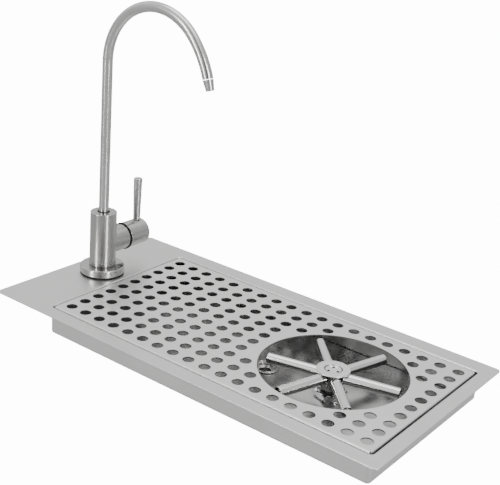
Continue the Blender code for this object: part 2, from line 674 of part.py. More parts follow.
def make_spout():
    """Swivelling gooseneck with its tip and the seals and clip on its foot."""
    place = (TAP_X, 0.0, 0.0)
    pivot = add_pivot("spout_axis", place)
    shape = bmesh.new()
    sides = 10
    walls = []
    for radius in (0.5 * TUBE_D, 0.5 * TUBE_BORE_D):
        loops = []
        for x, z, heading in spout_path():
            across = Vector((math.cos(heading), 0.0, -math.sin(heading)))
            centre = Vector((TAP_X + x, 0.0, z))
            loops.append([shape.verts.new(centre + (across * c + Y_AXIS * s) * radius)
                          for c, s in ring_points(sides)])
        walls.append(loops)
    outer, inner = walls
    strips = list(zip(outer, outer[1:])) + list(zip(inner, inner[1:]))
    strips += [(outer[0], inner[0]), (outer[-1], inner[-1])]
    for first, second in strips:
        for i in range(sides):
            j = (i + 1) % sides
            shape.faces.new((first[i], first[j], second[j], second[i]))
    add_object("spout_tube", shape, STEEL, pivot)
    x, z, heading = spout_path()[-1]
    outlet = (math.sin(heading), 0.0, math.cos(heading))
    tip = [(TIP_BORE_R, GAP), (0.5 * TUBE_D, GAP), (0.5 * TIP_END_D, TIP_LENGTH - 0.4),
           (0.5 * TIP_END_D - 0.3, TIP_LENGTH), (TIP_BORE_R, TIP_LENGTH)]
    add_object("spout_tip", lathe(tip, (TAP_X + x, 0.0, z), outlet, 10), STEEL, pivot)
    for name, height in zip(("spout_o_ring_upper", "spout_o_ring_lower"), SEAL_HEIGHTS):
        add_object(name, o_ring(5.4, 0.4, height, place), RUBBER, pivot)
    add_object("spout_clip", tube(5.8, 5.0, *CLIP_Z, place), BRASS, pivot)
    add_object("spout_bush", tube(*BUSH_R, *BUSH_Z, place), PLASTIC)


def main():
    """Build the whole assembly."""
    clear_scene()
    make_basin_tray()
    make_grate()
    make_drain()
    make_rinser_base()
    make_rinser_head()
    make_tap_base()
    make_valve()
    make_handle()
    make_spout()


main()
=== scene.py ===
"""Finished model of a drop-in bar drip tray with a push-down glass rinser and a gooseneck tap.

Each sub-assembly is a class. Its fields are the shop sizes in millimetres; its place and outer
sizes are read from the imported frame. Lengths are millimetres until a piece is made, and metres after.
"""
import json
import logging
import math
from dataclasses import dataclass
from enum import Enum
from typing import Callable, Sequence

import bmesh
import bpy
from mathutils import Euler, Matrix, Vector

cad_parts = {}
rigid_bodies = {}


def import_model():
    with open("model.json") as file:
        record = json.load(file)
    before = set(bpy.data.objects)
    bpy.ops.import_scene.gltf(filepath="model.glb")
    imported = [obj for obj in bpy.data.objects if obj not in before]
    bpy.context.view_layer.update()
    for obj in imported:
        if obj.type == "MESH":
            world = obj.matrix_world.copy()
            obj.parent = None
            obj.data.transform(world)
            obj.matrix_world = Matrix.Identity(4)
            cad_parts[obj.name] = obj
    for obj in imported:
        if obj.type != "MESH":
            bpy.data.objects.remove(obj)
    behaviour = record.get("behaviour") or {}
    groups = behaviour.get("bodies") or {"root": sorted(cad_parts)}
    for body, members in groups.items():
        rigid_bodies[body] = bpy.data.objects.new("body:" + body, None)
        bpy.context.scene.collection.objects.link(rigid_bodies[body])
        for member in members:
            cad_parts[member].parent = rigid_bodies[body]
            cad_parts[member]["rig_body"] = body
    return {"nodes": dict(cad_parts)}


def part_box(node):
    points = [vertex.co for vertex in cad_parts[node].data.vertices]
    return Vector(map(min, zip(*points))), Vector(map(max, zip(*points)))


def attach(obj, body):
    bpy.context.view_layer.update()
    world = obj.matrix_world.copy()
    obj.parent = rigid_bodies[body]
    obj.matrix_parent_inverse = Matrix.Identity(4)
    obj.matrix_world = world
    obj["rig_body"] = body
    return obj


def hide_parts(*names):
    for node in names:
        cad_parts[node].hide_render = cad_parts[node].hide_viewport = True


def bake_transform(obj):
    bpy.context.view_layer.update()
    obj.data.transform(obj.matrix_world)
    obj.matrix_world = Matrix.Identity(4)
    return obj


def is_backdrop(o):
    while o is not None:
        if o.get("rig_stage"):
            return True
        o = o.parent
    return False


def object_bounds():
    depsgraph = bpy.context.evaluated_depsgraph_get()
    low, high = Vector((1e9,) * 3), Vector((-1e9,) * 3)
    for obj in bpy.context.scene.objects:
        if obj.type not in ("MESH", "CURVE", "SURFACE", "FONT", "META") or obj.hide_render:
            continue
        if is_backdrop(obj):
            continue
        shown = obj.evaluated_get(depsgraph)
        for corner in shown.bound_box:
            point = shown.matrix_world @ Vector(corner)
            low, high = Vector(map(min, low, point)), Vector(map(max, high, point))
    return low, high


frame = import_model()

LOG = logging.getLogger("drip_tray")
MM = 0.001
ON_AXIS = 1e-6
WRAP = "wrap"      # UV map that runs round a turned or swept piece, then along it
FINE = 96          # facets round the large turned pieces
MEDIUM = 64        # facets round the ordinary ones
COARSE = 32        # facets round the small ones
BEND_HOLD = 0.5    # flat kept beside a sheet's bend, so that its shading stays even
THROUGH = 5.0      # how far a cutter runs past the face it opens

Profile = list[tuple[float, float]]
Outline = list[tuple[float, float]]


# ---------------------------------------------------------------- places and outlines

@dataclass(frozen=True)
class Extent:
    """Box of one CAD node, in millimetres."""

    low: Vector
    high: Vector

    @classmethod
    def of(cls, node: str) -> "Extent":
        """Read a node's box from the frame."""
        low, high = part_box(node)
        return cls(low / MM, high / MM)

    @property
    def size(self) -> Vector:
        """Length along each axis."""
        return self.high - self.low

    @property
    def middle(self) -> Vector:
        """Centre of the box."""
        return (self.low + self.high) / 2

    @property
    def foot(self) -> Vector:
        """The box's vertical centreline at height zero."""
        return Vector((self.middle.x, self.middle.y, 0.0))


class Axis(Enum):
    """Axis that a piece is turned about."""

    UP = (0.0, 0.0, 1.0)
    SIDE = (0.0, 1.0, 0.0)

    @property
    def vector(self) -> Vector:
        """The axis as a direction."""
        return Vector(self.value)


def unit_circle(count: int, phase: float = 0.0) -> Outline:
    """Directions round a circle.

    Args:
        count: how many directions.
        phase: the first one's angle in degrees.

    Returns:
        (cos, sin) pairs, anticlockwise.
    """
    start = math.radians(phase)
    return [(math.cos(start + math.tau * i / count), math.sin(start + math.tau * i / count))
            for i in range(count)]


def quarter(steps: int) -> Outline:
    """(cos, sin) pairs through a quarter turn, from zero."""
    angles = [math.radians(90.0 * step / steps) for step in range(steps + 1)]
    return [(math.cos(angle), math.sin(angle)) for angle in angles]


def eased(points: Profile, radius: float = 0.3, steps: int = 3, hold: float = 0.25) -> Profile:
    """Round every corner of a turned outline, and hold its flats with a point beside each round.

    Args:
        points: closed outline of (radius, height) points; points on the axis stay sharp.
        radius: how far from its corner each round starts.
        steps: segments in each round.
        hold: distance from a round to the point that holds the flat beside it.

    Returns:
        The eased outline.
    """
    result: Profile = []
    count = len(points)
    for index, (x, y) in enumerate(points):
        if x < ON_AXIS:
            result.append((x, y))
            continue
        here = Vector((x, y))
        back = Vector(points[index - 1]) - here
        ahead = Vector(points[(index + 1) % count]) - here
        reach = min(radius, 0.35 * back.length, 0.35 * ahead.length)
        start = here + back.normalized() * reach
        end = here + ahead.normalized() * reach
        result.append(tuple(start + back.normalized() * min(hold, 0.1 * back.length)))
        for step in range(steps + 1):
            t = step / steps
            result.append(tuple(start * (1 - t) ** 2 + here * 2 * t * (1 - t) + end * t ** 2))
        result.append(tuple(end + ahead.normalized() * min(hold, 0.1 * ahead.length)))
    return result


def tube_profile(outer: float, inner: float, low: float, high: float) -> Profile:
    """Outline of a plain ring between two heights."""
    return [(inner, low), (outer, low), (outer, high), (inner, high)]


def rod_profile(radius: float, low: float, high: float) -> Profile:
    """Outline of a plain rod between two heights."""
    return [(0.0, low), (radius, low), (radius, high), (0.0, high)]


def stand(place: Vector, axis: Vector) -> Matrix:
    """Matrix that carries a shape made round +Z to a place and an axis."""
    return Matrix.Translation(place) @ Vector((0.0, 0.0, 1.0)).rotation_difference(axis).to_matrix().to_4x4()


def turned(profile: Profile, place: Vector, axis: Vector = Axis.UP.vector, sides: int = MEDIUM,
           phase: float = 0.0) -> bmesh.types.BMesh:
    """Spin an outline round an axis.

    Args:
        profile: closed outline of (radius, height) points; it starts and ends on the axis, or is a ring.
        place: point on the axis at height zero.
        axis: direction of the axis.
        sides: facets round the axis.
        phase: turn of the facets in degrees.

    Returns:
        The closed shape, in millimetres.
    """
    shape = bmesh.new()
    wrap = shape.loops.layers.uv.new(WRAP)
    circle = unit_circle(sides, phase)
    loops = []
    for radius, height in profile:
        spots = [(0.0, 0.0)] if radius < ON_AXIS else [(c * radius, s * radius) for c, s in circle]
        loops.append([shape.verts.new((x, y, height)) for x, y in spots])
    following = loops[1:] + (loops[:1] if len(loops[0]) > 1 else [])
    for row, (low, high) in enumerate(zip(loops, following)):
        for i in range(sides):
            j = (i + 1) % sides
            corners = (low[i % len(low)], low[j % len(low)], high[j % len(high)], high[i % len(high)])
            spots = ((i, row), (i + 1, row), (i + 1, row + 1), (i, row + 1))
            at = dict(zip(corners, spots))
            face = shape.faces.new(list(at))
            for corner in face.loops:
                across, along = at[corner.vert]
                corner[wrap].uv = (across / sides, along / len(loops))
    bmesh.ops.transform(shape, matrix=stand(place, axis), verts=shape.verts)
    bmesh.ops.recalc_face_normals(shape, faces=shape.faces)
    return shape


def rounded_rectangle(x_range: Sequence[float], y_range: Sequence[float], radius: float,
                      steps: int = 6, hold: float = 0.6) -> Outline:
    """Rectangle with round corners, each with a holding point on both of its sides.

    Args:
        x_range: lowest and highest x.
        y_range: lowest and highest y.
        radius: corner radius.
        steps: segments in each corner.
        hold: distance from a corner's arc to its holding points.

    Returns:
        Anticlockwise (x, y) points.
    """
    points: Outline = []
    corners = ((1, 1), (0, 1), (0, 0), (1, 0))
    for quarter, (x_end, y_end) in enumerate(corners):
        x_sign = 1.0 if x_end else -1.0
        y_sign = 1.0 if y_end else -1.0
        centre = Vector((x_range[x_end] - x_sign * radius, y_range[y_end] - y_sign * radius))
        arc = []
        for i in range(steps + 1):
            angle = math.radians(90.0 * quarter + 90.0 * i / steps)
            arc.append(centre + Vector((math.cos(angle), math.sin(angle))) * radius)
        enter = Vector((math.sin(math.radians(90.0 * quarter)), -math.cos(math.radians(90.0 * quarter))))
        leave = Vector((-enter.y, enter.x)) * -1.0
        points += [tuple(p) for p in (arc[0] + enter * hold, *arc, arc[-1] + leave * hold)]
    return points


def widened(span: Sequence[float], amount: float) -> tuple[float, float]:
    """A range made larger by the same amount at both ends."""
    return span[0] - amount, span[1] + amount


def skinned(levels: Sequence[tuple[Outline, float]]) -> bmesh.types.BMesh:
    """Bridge equal outlines in turn and close both ends.

    Args:
        levels: (outline, height) pairs, each with the same number of points.

    Returns:
        The closed shape, in millimetres.
    """
    shape = bmesh.new()
    loops = [[shape.verts.new((x, y, height)) for x, y in outline] for outline, height in levels]
    count = len(loops[0])
    for first, second in zip(loops, loops[1:]):
        for i in range(count):
            j = (i + 1) % count
            shape.faces.new((first[i], first[j], second[j], second[i]))
    shape.faces.new(list(reversed(loops[0])))
    shape.faces.new(loops[-1])
    bmesh.ops.recalc_face_normals(shape, faces=shape.faces)
    return shape


def hexagon_nut(flats: float, bore: float, low: float, high: float, place: Vector,
                phase: float = 0.0, slope: float = 30.0) -> bmesh.types.BMesh:
    """Hexagon nut with turned chamfers, so that each flat ends in an arc.

    Args:
        flats: width across flats.
        bore: radius of the hole.
        low: height of the lower face.
        high: height of the upper face.
        place: point on the axis at height zero.
        phase: turn of the nut in degrees.
        slope: chamfer angle in degrees.

    Returns:
        The closed shape, in millimetres.
    """
    shape = bmesh.new()
    circle = unit_circle(FINE, 0.0)
    face = 0.48 * flats
    fall = math.tan(math.radians(slope))
    lead = 0.35

    def reach(c: float, s: float) -> float:
        """Distance from the axis to the hexagon in one direction."""
        turn = math.atan2(s, c) % (math.pi / 3.0) - math.pi / 6.0
        return 0.5 * flats / math.cos(turn)

    def loop(radius_at: Callable[[float, float], float], height_at: Callable[[float], float]) -> list:
        """Vertices of one loop, from its radius and height in each direction."""
        return [shape.verts.new((c * radius_at(c, s), s * radius_at(c, s), height_at(radius_at(c, s))))
                for c, s in circle]

    loops = [
        loop(lambda c, s: bore, lambda r: low + lead),
        loop(lambda c, s: bore + lead, lambda r: low),
        loop(lambda c, s: face, lambda r: low),
        loop(reach, lambda r: low + (r - face) * fall),
        loop(reach, lambda r: high - (r - face) * fall),
        loop(lambda c, s: face, lambda r: high),
        loop(lambda c, s: bore + lead, lambda r: high),
        loop(lambda c, s: bore, lambda r: high - lead),
    ]
    for first, second in zip(loops, loops[1:] + loops[:1]):
        for i in range(FINE):
            j = (i + 1) % FINE
            shape.faces.new((first[i], first[j], second[j], second[i]))
    turn = Matrix.Rotation(math.radians(phase), 4, "Z")
    bmesh.ops.transform(shape, matrix=Matrix.Translation(place) @ turn, verts=shape.verts)
    bmesh.ops.recalc_face_normals(shape, faces=shape.faces)
    return shape


def swept(path: Sequence[tuple[Vector, Vector, Vector]], radii: Sequence[float],
          sides: int) -> bmesh.types.BMesh:
    """Sweep one or two round walls along a path: a rod for one radius, a tube for two.

    Args:
        path: (centre, across, beside) triples; across and beside span each round section.
        radii: outer radius, and the inner one of a tube.
        sides: facets round the path.

    Returns:
        The closed shape, in millimetres.
    """
    shape = bmesh.new()
    wrap = shape.loops.layers.uv.new(WRAP)
    circle = unit_circle(sides)
    walls = [[[shape.verts.new(centre + (across * c + beside * s) * radius) for c, s in circle]
              for centre, across, beside in path] for radius in radii]
    strips = [pair for wall in walls for pair in zip(wall, wall[1:])]
    if len(walls) == 2:
        strips += [(walls[0][0], walls[1][0]), (walls[0][-1], walls[1][-1])]
    else:
        shape.faces.new(list(reversed(walls[0][0])))
        shape.faces.new(walls[0][-1])
    for row, (first, second) in enumerate(strips):
        for i in range(sides):
            j = (i + 1) % sides
            face = shape.faces.new((first[i], first[j], second[j], second[i]))
            for corner, (across, along) in zip(face.loops, ((i, 0), (i + 1, 0), (i + 1, 1), (i, 1))):
                corner[wrap].uv = (across / sides, (row + along) / len(strips))
    bmesh.ops.recalc_face_normals(shape, faces=shape.faces)
    return shape


# ---------------------------------------------------------------- node trees

class NodeBench:
    """Lays out nodes in one tree, for shaders and for geometry."""

    def __init__(self, tree: bpy.types.NodeTree) -> None:
        """Start work on a tree."""
        self.tree = tree
        self.column = 0

    def add(self, kind: str, inputs: dict | None = None, **settings: object) -> bpy.types.Node:
        """Add a node.

        Args:
            kind: the node's type.
            inputs: socket name or number to a value or to another node's output.
            **settings: the node's own properties.

        Returns:
            The node.
        """
        node = self.tree.nodes.new(kind)
        node.location = (180.0 * self.column, 0.0)
        self.column += 1
        for name, value in settings.items():
            setattr(node, name, value)
        for key, value in (inputs or {}).items():
            if isinstance(value, bpy.types.NodeSocket):
                self.tree.links.new(value, node.inputs[key])
            else:
                node.inputs[key].default_value = value
        return node

    def math(self, operation: str, first: object, second: object = 0.0) -> bpy.types.NodeSocket:
        """One Math node.

        Args:
            operation: the node's operation.
            first: value or output for its first input.
            second: value or output for its second input.

        Returns:
            Its output.
        """
        kind = "ShaderNodeMath"
        return self.add(kind, {0: first, 1: second}, operation=operation).outputs[0]

    def vector(self, operation: str, first: object, second: object) -> bpy.types.NodeSocket:
        """One Vector Math node's vector output."""
        return self.add("ShaderNodeVectorMath", {0: first, 1: second}, operation=operation).outputs["Vector"]

    def xyz(self, x: object = 0.0, y: object = 0.0, z: object = 0.0) -> bpy.types.NodeSocket:
        """One Combine XYZ node's output."""
        return self.add("ShaderNodeCombineXYZ", {"X": x, "Y": y, "Z": z}).outputs[0]

    def noise(self, place: object, scale: object, detail: float, **inputs: float) -> bpy.types.NodeSocket:
        """One Noise Texture node's value.

        Args:
            place: where it is read.
            scale: value or output for its scale.
            detail: how many octaves.
            **inputs: its Roughness or Distortion.

        Returns:
            Its output.
        """
        sockets = {"Vector": place, "Scale": scale, "Detail": detail, **inputs}
        return self.add("ShaderNodeTexNoise", sockets).outputs["Fac"]

    def ramp(self, value: bpy.types.NodeSocket, low: object, high: object,
             to_low: object = 0.0, to_high: object = 1.0) -> bpy.types.NodeSocket:
        """Map a range of values to another, smoothly.

        Args:
            value: the output to map.
            low: value that becomes to_low.
            high: value that becomes to_high.
            to_low: result at low.
            to_high: result at high.

        Returns:
            The mapped output.
        """
        sockets = {"Value": value, "From Min": low, "From Max": high, "To Min": to_low, "To Max": to_high}
        return self.add("ShaderNodeMapRange", sockets, interpolation_type="SMOOTHSTEP").outputs["Result"]


def new_group(name: str, kind: str, inputs: Sequence[tuple], outputs: Sequence[tuple]) -> tuple:
    """Make a node group with named sockets.

    Args:
        name: the group's name.
        kind: its tree type.
        inputs: (name, socket type, default or None) for each input.
        outputs: (name, socket type) for each output.

    Returns:
        The tree, a bench on it, its input node and its output node.
    """
    tree = bpy.data.node_groups.new(name, kind)
    for label, socket_type, default in inputs:
        socket = tree.interface.new_socket(name=label, in_out="INPUT", socket_type=socket_type)
        if default is not None:
            socket.default_value = default
    for label, socket_type in outputs:
        tree.interface.new_socket(name=label, in_out="OUTPUT", socket_type=socket_type)
    bench = NodeBench(tree)
    return tree, bench, bench.add("NodeGroupInput"), bench.add("NodeGroupOutput")


# ---------------------------------------------------------------- shader groups

class Shelf:
    """Named node trees, each built at its first use."""

    _made: dict[str, bpy.types.NodeTree] = {}

    @classmethod
    def get(cls, name: str) -> bpy.types.NodeTree:
        """The tree that the method of this name builds."""
        if name not in cls._made:
            cls._made[name] = getattr(cls, name)()
        return cls._made[name]


class Effects(Shelf):
    """Shader node groups that several finishes share."""

    @staticmethod
    def draw_lines(bench: NodeBench, place: bpy.types.NodeSocket, slowing: tuple[float, float, float],
                   sink: bpy.types.Node) -> None:
        """End a grain group with its tool lines and their softer bands.

        Args:
            bench: the group's bench.
            place: stretched place at which the lines are read.
            slowing: what the bands' place is multiplied by.
            sink: the group's output node.
        """
        lines = bench.noise(place, 1.0, 3.0, Roughness=0.62)
        band = bench.noise(bench.vector("MULTIPLY", place, slowing), 1.0, 2.0)
        bench.tree.links.new(lines, sink.inputs["Lines"])
        bench.tree.links.new(band, sink.inputs["Band"])

    @staticmethod
    def straight_grain() -> bpy.types.NodeTree:
        """Brush lines drawn out along one axis.

        Returns:
            A group with a Lines value from 0 to 1 and a softer Band value.
        """
        tree, bench, source, sink = new_group(
            "straight_grain", "ShaderNodeTree",
            (("Vector", "NodeSocketVector", None), ("Density", "NodeSocketVector", (60.0, 4000.0, 4000.0))),
            (("Lines", "NodeSocketFloat"), ("Band", "NodeSocketFloat")))
        stretched = bench.vector("MULTIPLY", source.outputs["Vector"], source.outputs["Density"])
        Effects.draw_lines(bench, stretched, (0.07, 0.07, 0.07), sink)
        return tree

    @staticmethod
    def turned_grain() -> bpy.types.NodeTree:
        """Tool lines that run round the Z axis of the incoming vector.

        Returns:
            A group with a Lines value from 0 to 1 and a softer Band value.
        """
        tree, bench, source, sink = new_group(
            "turned_grain", "ShaderNodeTree",
            (("Vector", "NodeSocketVector", None), ("Density", "NodeSocketFloat", 4000.0)),
            (("Lines", "NodeSocketFloat"), ("Band", "NodeSocketFloat")))
        parts = bench.add("ShaderNodeSeparateXYZ", {0: source.outputs["Vector"]})
        across = bench.math("MULTIPLY", parts.outputs["X"], parts.outputs["X"])
        beside = bench.math("MULTIPLY", parts.outputs["Y"], parts.outputs["Y"])
        radius = bench.math("SQRT", bench.math("ADD", across, beside))
        arc = bench.math("ARCTAN2", parts.outputs["Y"], parts.outputs["X"])
        density = source.outputs["Density"]
        unrolled = bench.xyz(bench.math("MULTIPLY", radius, density),
                             bench.math("MULTIPLY", bench.math("SINE", arc), 0.8),
                             bench.math("MULTIPLY", parts.outputs["Z"], density))
        Effects.draw_lines(bench, unrolled, (0.09, 1.0, 0.09), sink)
        return tree

    @staticmethod
    def handling() -> bpy.types.NodeTree:
        """Faint haze from wiping and handling.

        Returns:
            A group with a Haze mask from 0 to 1.
        """
        tree, bench, source, sink = new_group(
            "handling", "ShaderNodeTree",
            (("Vector", "NodeSocketVector", None), ("Patch", "NodeSocketFloat", 30.0)),
            (("Haze", "NodeSocketFloat"),))
        given = source.outputs
        cloud = bench.noise(given["Vector"], given["Patch"], 3.0, Roughness=0.55, Distortion=0.6)
        tree.links.new(bench.ramp(cloud, 0.38, 0.68), sink.inputs["Haze"])
        return tree

    @staticmethod
    def pores() -> bpy.types.NodeTree:
        """Fine moulded or cast texture.

        Returns:
            A group with a Height value and a Speck mask.
        """
        tree, bench, source, sink = new_group(
            "pores", "ShaderNodeTree",
            (("Vector", "NodeSocketVector", None), ("Density", "NodeSocketFloat", 2500.0)),
            (("Height", "NodeSocketFloat"), ("Speck", "NodeSocketFloat")))
        given = source.outputs
        fine = bench.noise(given["Vector"], given["Density"], 2.0)
        wide = bench.math("MULTIPLY", given["Density"], 0.12)
        dust = bench.noise(given["Vector"], wide, 4.0, Roughness=0.7)
        tree.links.new(fine, sink.inputs["Height"])
        tree.links.new(bench.ramp(dust, 0.52, 0.74), sink.inputs["Speck"])
        return tree


# ---------------------------------------------------------------- finishes

class Grain(Enum):
    """How a metal surface was brushed or cut."""

    ALONG_X = (60.0, 3600.0, 3600.0)
    EVEN = (2600.0, 2600.0, 2600.0)
    ROUND_UP = (0.0, 0.0, 0.0)
    ROUND_SIDE = (-90.0, 0.0, 0.0)

    @property
    def is_round(self) -> bool:
        """Whether the lines run round an axis."""
        return self in (Grain.ROUND_UP, Grain.ROUND_SIDE)


def blank_material(name: str) -> tuple[bpy.types.Material, NodeBench, bpy.types.Node,
                                       bpy.types.NodeSocket]:
    """A new material, its bench, its shader and its object coordinates."""
    made = bpy.data.materials.new(name)
    made.use_nodes = True
    bench = NodeBench(made.node_tree)
    place = bench.add("ShaderNodeTexCoord").outputs["Object"]
    return made, bench, made.node_tree.nodes["Principled BSDF"], place


def join_shader(bench: NodeBench, shader: bpy.types.Node, colour: bpy.types.Node,
                rough: bpy.types.NodeSocket, bump: bpy.types.Node) -> None:
    """Join a finish's colour, roughness and normal to its shader."""
    bench.tree.links.new(colour.outputs["Result"], shader.inputs["Base Color"])
    bench.tree.links.new(rough, shader.inputs["Roughness"])
    bench.tree.links.new(bump.outputs["Normal"], shader.inputs["Normal"])


@dataclass(frozen=True)
class MetalFinish:
    """A metal surface with its tool lines, haze and micro relief."""

    name: str
    slot: str
    colour: tuple[float, float, float]
    roughness: float
    grain: Grain = Grain.EVEN
    centre: tuple[float, float, float] = (0.0, 0.0, 0.0)
    density: float = 3200.0
    tint: float = 0.05
    rough_swing: float = 0.06
    haze: float = 0.05
    haze_patch: float = 30.0
    relief: float = 0.12
    ripple: float = 0.0
    ripple_scale: float = 25.0
    stretch: float = 0.0

    def lines(self, bench: NodeBench, place: bpy.types.NodeSocket) -> bpy.types.Node:
        """Tool-line group for this grain.

        Args:
            bench: the material's bench.
            place: object coordinates.

        Returns:
            The group node.
        """
        if self.grain.is_round:
            centre = Vector(self.centre) * MM
            turn = Euler([math.radians(angle) for angle in self.grain.value])
            local = bench.add("ShaderNodeMapping", {"Vector": place, "Location": centre, "Rotation": turn},
                              vector_type="TEXTURE")
            group = bench.add("ShaderNodeGroup", node_tree=Effects.get("turned_grain"))
            bench.tree.links.new(local.outputs["Vector"], group.inputs["Vector"])
            group.inputs["Density"].default_value = self.density
            return group
        group = bench.add("ShaderNodeGroup", node_tree=Effects.get("straight_grain"))
        bench.tree.links.new(place, group.inputs["Vector"])
        group.inputs["Density"].default_value = self.grain.value
        return group

    def height(self, bench: NodeBench, lines: bpy.types.Node, place: bpy.types.NodeSocket) -> bpy.types.Node:
        """Normal of the tool lines, over a slow ripple where the finish has one.

        Args:
            bench: the material's bench.
            lines: the tool-line group node.
            place: object coordinates.

        Returns:
            The Bump node.
        """
        bump = bench.add("ShaderNodeBump", {"Strength": self.relief, "Distance": 0.00005,
                                            "Height": lines.outputs["Lines"]})
        if self.ripple > 0.0:
            wave = bench.noise(place, self.ripple_scale, 1.0, Distortion=0.4)
            slow = bench.add("ShaderNodeBump", {"Strength": self.ripple, "Distance": 0.002,
                                                "Height": wave})
            bench.tree.links.new(slow.outputs["Normal"], bump.inputs["Normal"])
        return bump

    def material(self) -> bpy.types.Material:
        """The finish as a material, made at its first use.

        Returns:
            The material.
        """
        if self.name in bpy.data.materials:
            return bpy.data.materials[self.name]
        made, bench, shader, place = blank_material(self.name)
        lines = self.lines(bench, place)
        haze = bench.add("ShaderNodeGroup", {}, node_tree=Effects.get("handling"))
        haze.inputs["Patch"].default_value = self.haze_patch
        made.node_tree.links.new(place, haze.inputs["Vector"])
        light = [min(1.0, part * (1.0 + self.tint)) for part in self.colour]
        dark = [part * (1.0 - self.tint) for part in self.colour]
        tone = bench.math("MULTIPLY", bench.math("ADD", lines.outputs["Lines"], lines.outputs["Band"]), 0.5)
        colour = bench.add("ShaderNodeMix", {"Factor": tone, "A": (*dark, 1.0), "B": (*light, 1.0)},
                           data_type="RGBA")
        swing = bench.math("MULTIPLY", bench.math("SUBTRACT", lines.outputs["Band"], 0.5), self.rough_swing)
        rough = bench.math("ADD", bench.math("ADD", swing, self.roughness),
                           bench.math("MULTIPLY", haze.outputs["Haze"], self.haze))
        bump = self.height(bench, lines, place)
        join_shader(bench, shader, colour, rough, bump)
        shader.inputs["Metallic"].default_value = 1.0
        if self.stretch > 0.0:
            self.brush_stretch(bench, shader)
        made.diffuse_color = (*self.colour, 1.0)
        return made

    def brush_stretch(self, bench: NodeBench, shader: bpy.types.Node) -> None:
        """Draw highlights out across the tool lines, which run round the piece."""
        tangent = bench.add("ShaderNodeTangent", direction_type="UV_MAP", uv_map=WRAP)
        bench.tree.links.new(tangent.outputs["Tangent"], shader.inputs["Tangent"])
        shader.inputs["Anisotropic"].default_value = self.stretch
        shader.inputs["Anisotropic Rotation"].default_value = 0.25


@dataclass(frozen=True)
class MouldedFinish:
    """Rubber, plastic or ceramic with a fine surface and a little dust."""

    name: str
    slot: str
    colour: tuple[float, float, float]
    roughness: float
    dust: tuple[float, float, float] = (0.25, 0.25, 0.25)
    dust_amount: float = 0.15
    density: float = 2500.0
    relief: float = 0.2
    specular: float = 0.25

    def material(self) -> bpy.types.Material:
        """The finish as a material, made at its first use.

        Returns:
            The material.
        """
        if self.name in bpy.data.materials:
            return bpy.data.materials[self.name]
        made, bench, shader, place = blank_material(self.name)
        pores = bench.add("ShaderNodeGroup", node_tree=Effects.get("pores"))
        pores.inputs["Density"].default_value = self.density
        made.node_tree.links.new(place, pores.inputs["Vector"])
        amount = bench.math("MULTIPLY", pores.outputs["Speck"], self.dust_amount)
        colour = bench.add("ShaderNodeMix", {"Factor": amount, "A": (*self.colour, 1.0),
                                             "B": (*self.dust, 1.0)}, data_type="RGBA")
        rough = bench.math("ADD", bench.math("MULTIPLY", amount, 0.6), self.roughness)
        bump = bench.add("ShaderNodeBump", {"Strength": self.relief, "Distance": 0.00008,
                                            "Height": pores.outputs["Height"]})
        join_shader(bench, shader, colour, rough, bump)
        shader.inputs["Specular IOR Level"].default_value = self.specular
        made.diffuse_color = (*self.colour, 1.0)
        return made


Finish = MetalFinish | MouldedFinish

TAP_AXIS = tuple(Extent.of("tap_base_ring").foot)
VALVE_AXIS = (TAP_AXIS[0], 0.0, Extent.of("valve_ring").middle.z)
RINSER_AXIS = tuple(Extent.of("rinser_cap").foot)
DRAIN_AXIS = tuple(Extent.of("drain_body").foot)

SHEET_STEEL = MetalFinish("sheet_steel", "brushed_sheet", (0.62, 0.62, 0.615), 0.36, Grain.ALONG_X,
                          tint=0.035, haze_patch=14.0, relief=0.10)
BASIN_STEEL = MetalFinish("basin_steel", "brushed_sheet", (0.47, 0.47, 0.465), 0.22, Grain.ALONG_X,
                          tint=0.08, relief=0.06, ripple=0.22, ripple_scale=28.0, haze=0.10)
# Darker finishes on hidden, cut or downward faces: painted shade and painted dark reflections on the same
# steel
PLATE_PAINTED_SHADE = MetalFinish("plate_painted_shade", "satin_steel", (0.20, 0.20, 0.20), 0.42, Grain.ALONG_X,
                          tint=0.06, relief=0.10)
PLATE_STEEL = MetalFinish("plate_steel", "satin_steel", (0.68, 0.68, 0.675), 0.38, Grain.ALONG_X,
                          tint=0.03, haze_patch=12.0, relief=0.10)
ARM_STEEL = MetalFinish("arm_steel", "satin_steel", (0.66, 0.66, 0.655), 0.16, relief=0.05)
# painted shade: darker copy of the arm steel for the arms' undersides and bores, standing in for dark
# reflections
ARM_PAINTED_SHADE = MetalFinish("arm_steel_painted_shade", "satin_steel", (0.20, 0.20, 0.198), 0.30, relief=0.08)
CAP_STEEL = MetalFinish("cap_steel", "satin_steel", (0.72, 0.72, 0.715), 0.28, Grain.ROUND_UP,
                        RINSER_AXIS, relief=0.10)
# painted shade: hub and stem steel darker than the cap and arms, standing in for the basin's dark reflection
HUB_PAINTED_SHADE_STEEL = MetalFinish("hub_steel_painted_shade", "satin_steel", (0.36, 0.36, 0.355), 0.16, Grain.ROUND_UP,
                        RINSER_AXIS, relief=0.10)
CHROME_SATIN = MetalFinish("jet_plate_steel", "satin_steel", (0.76, 0.76, 0.755), 0.14, Grain.ROUND_UP,
                           RINSER_AXIS, relief=0.06)
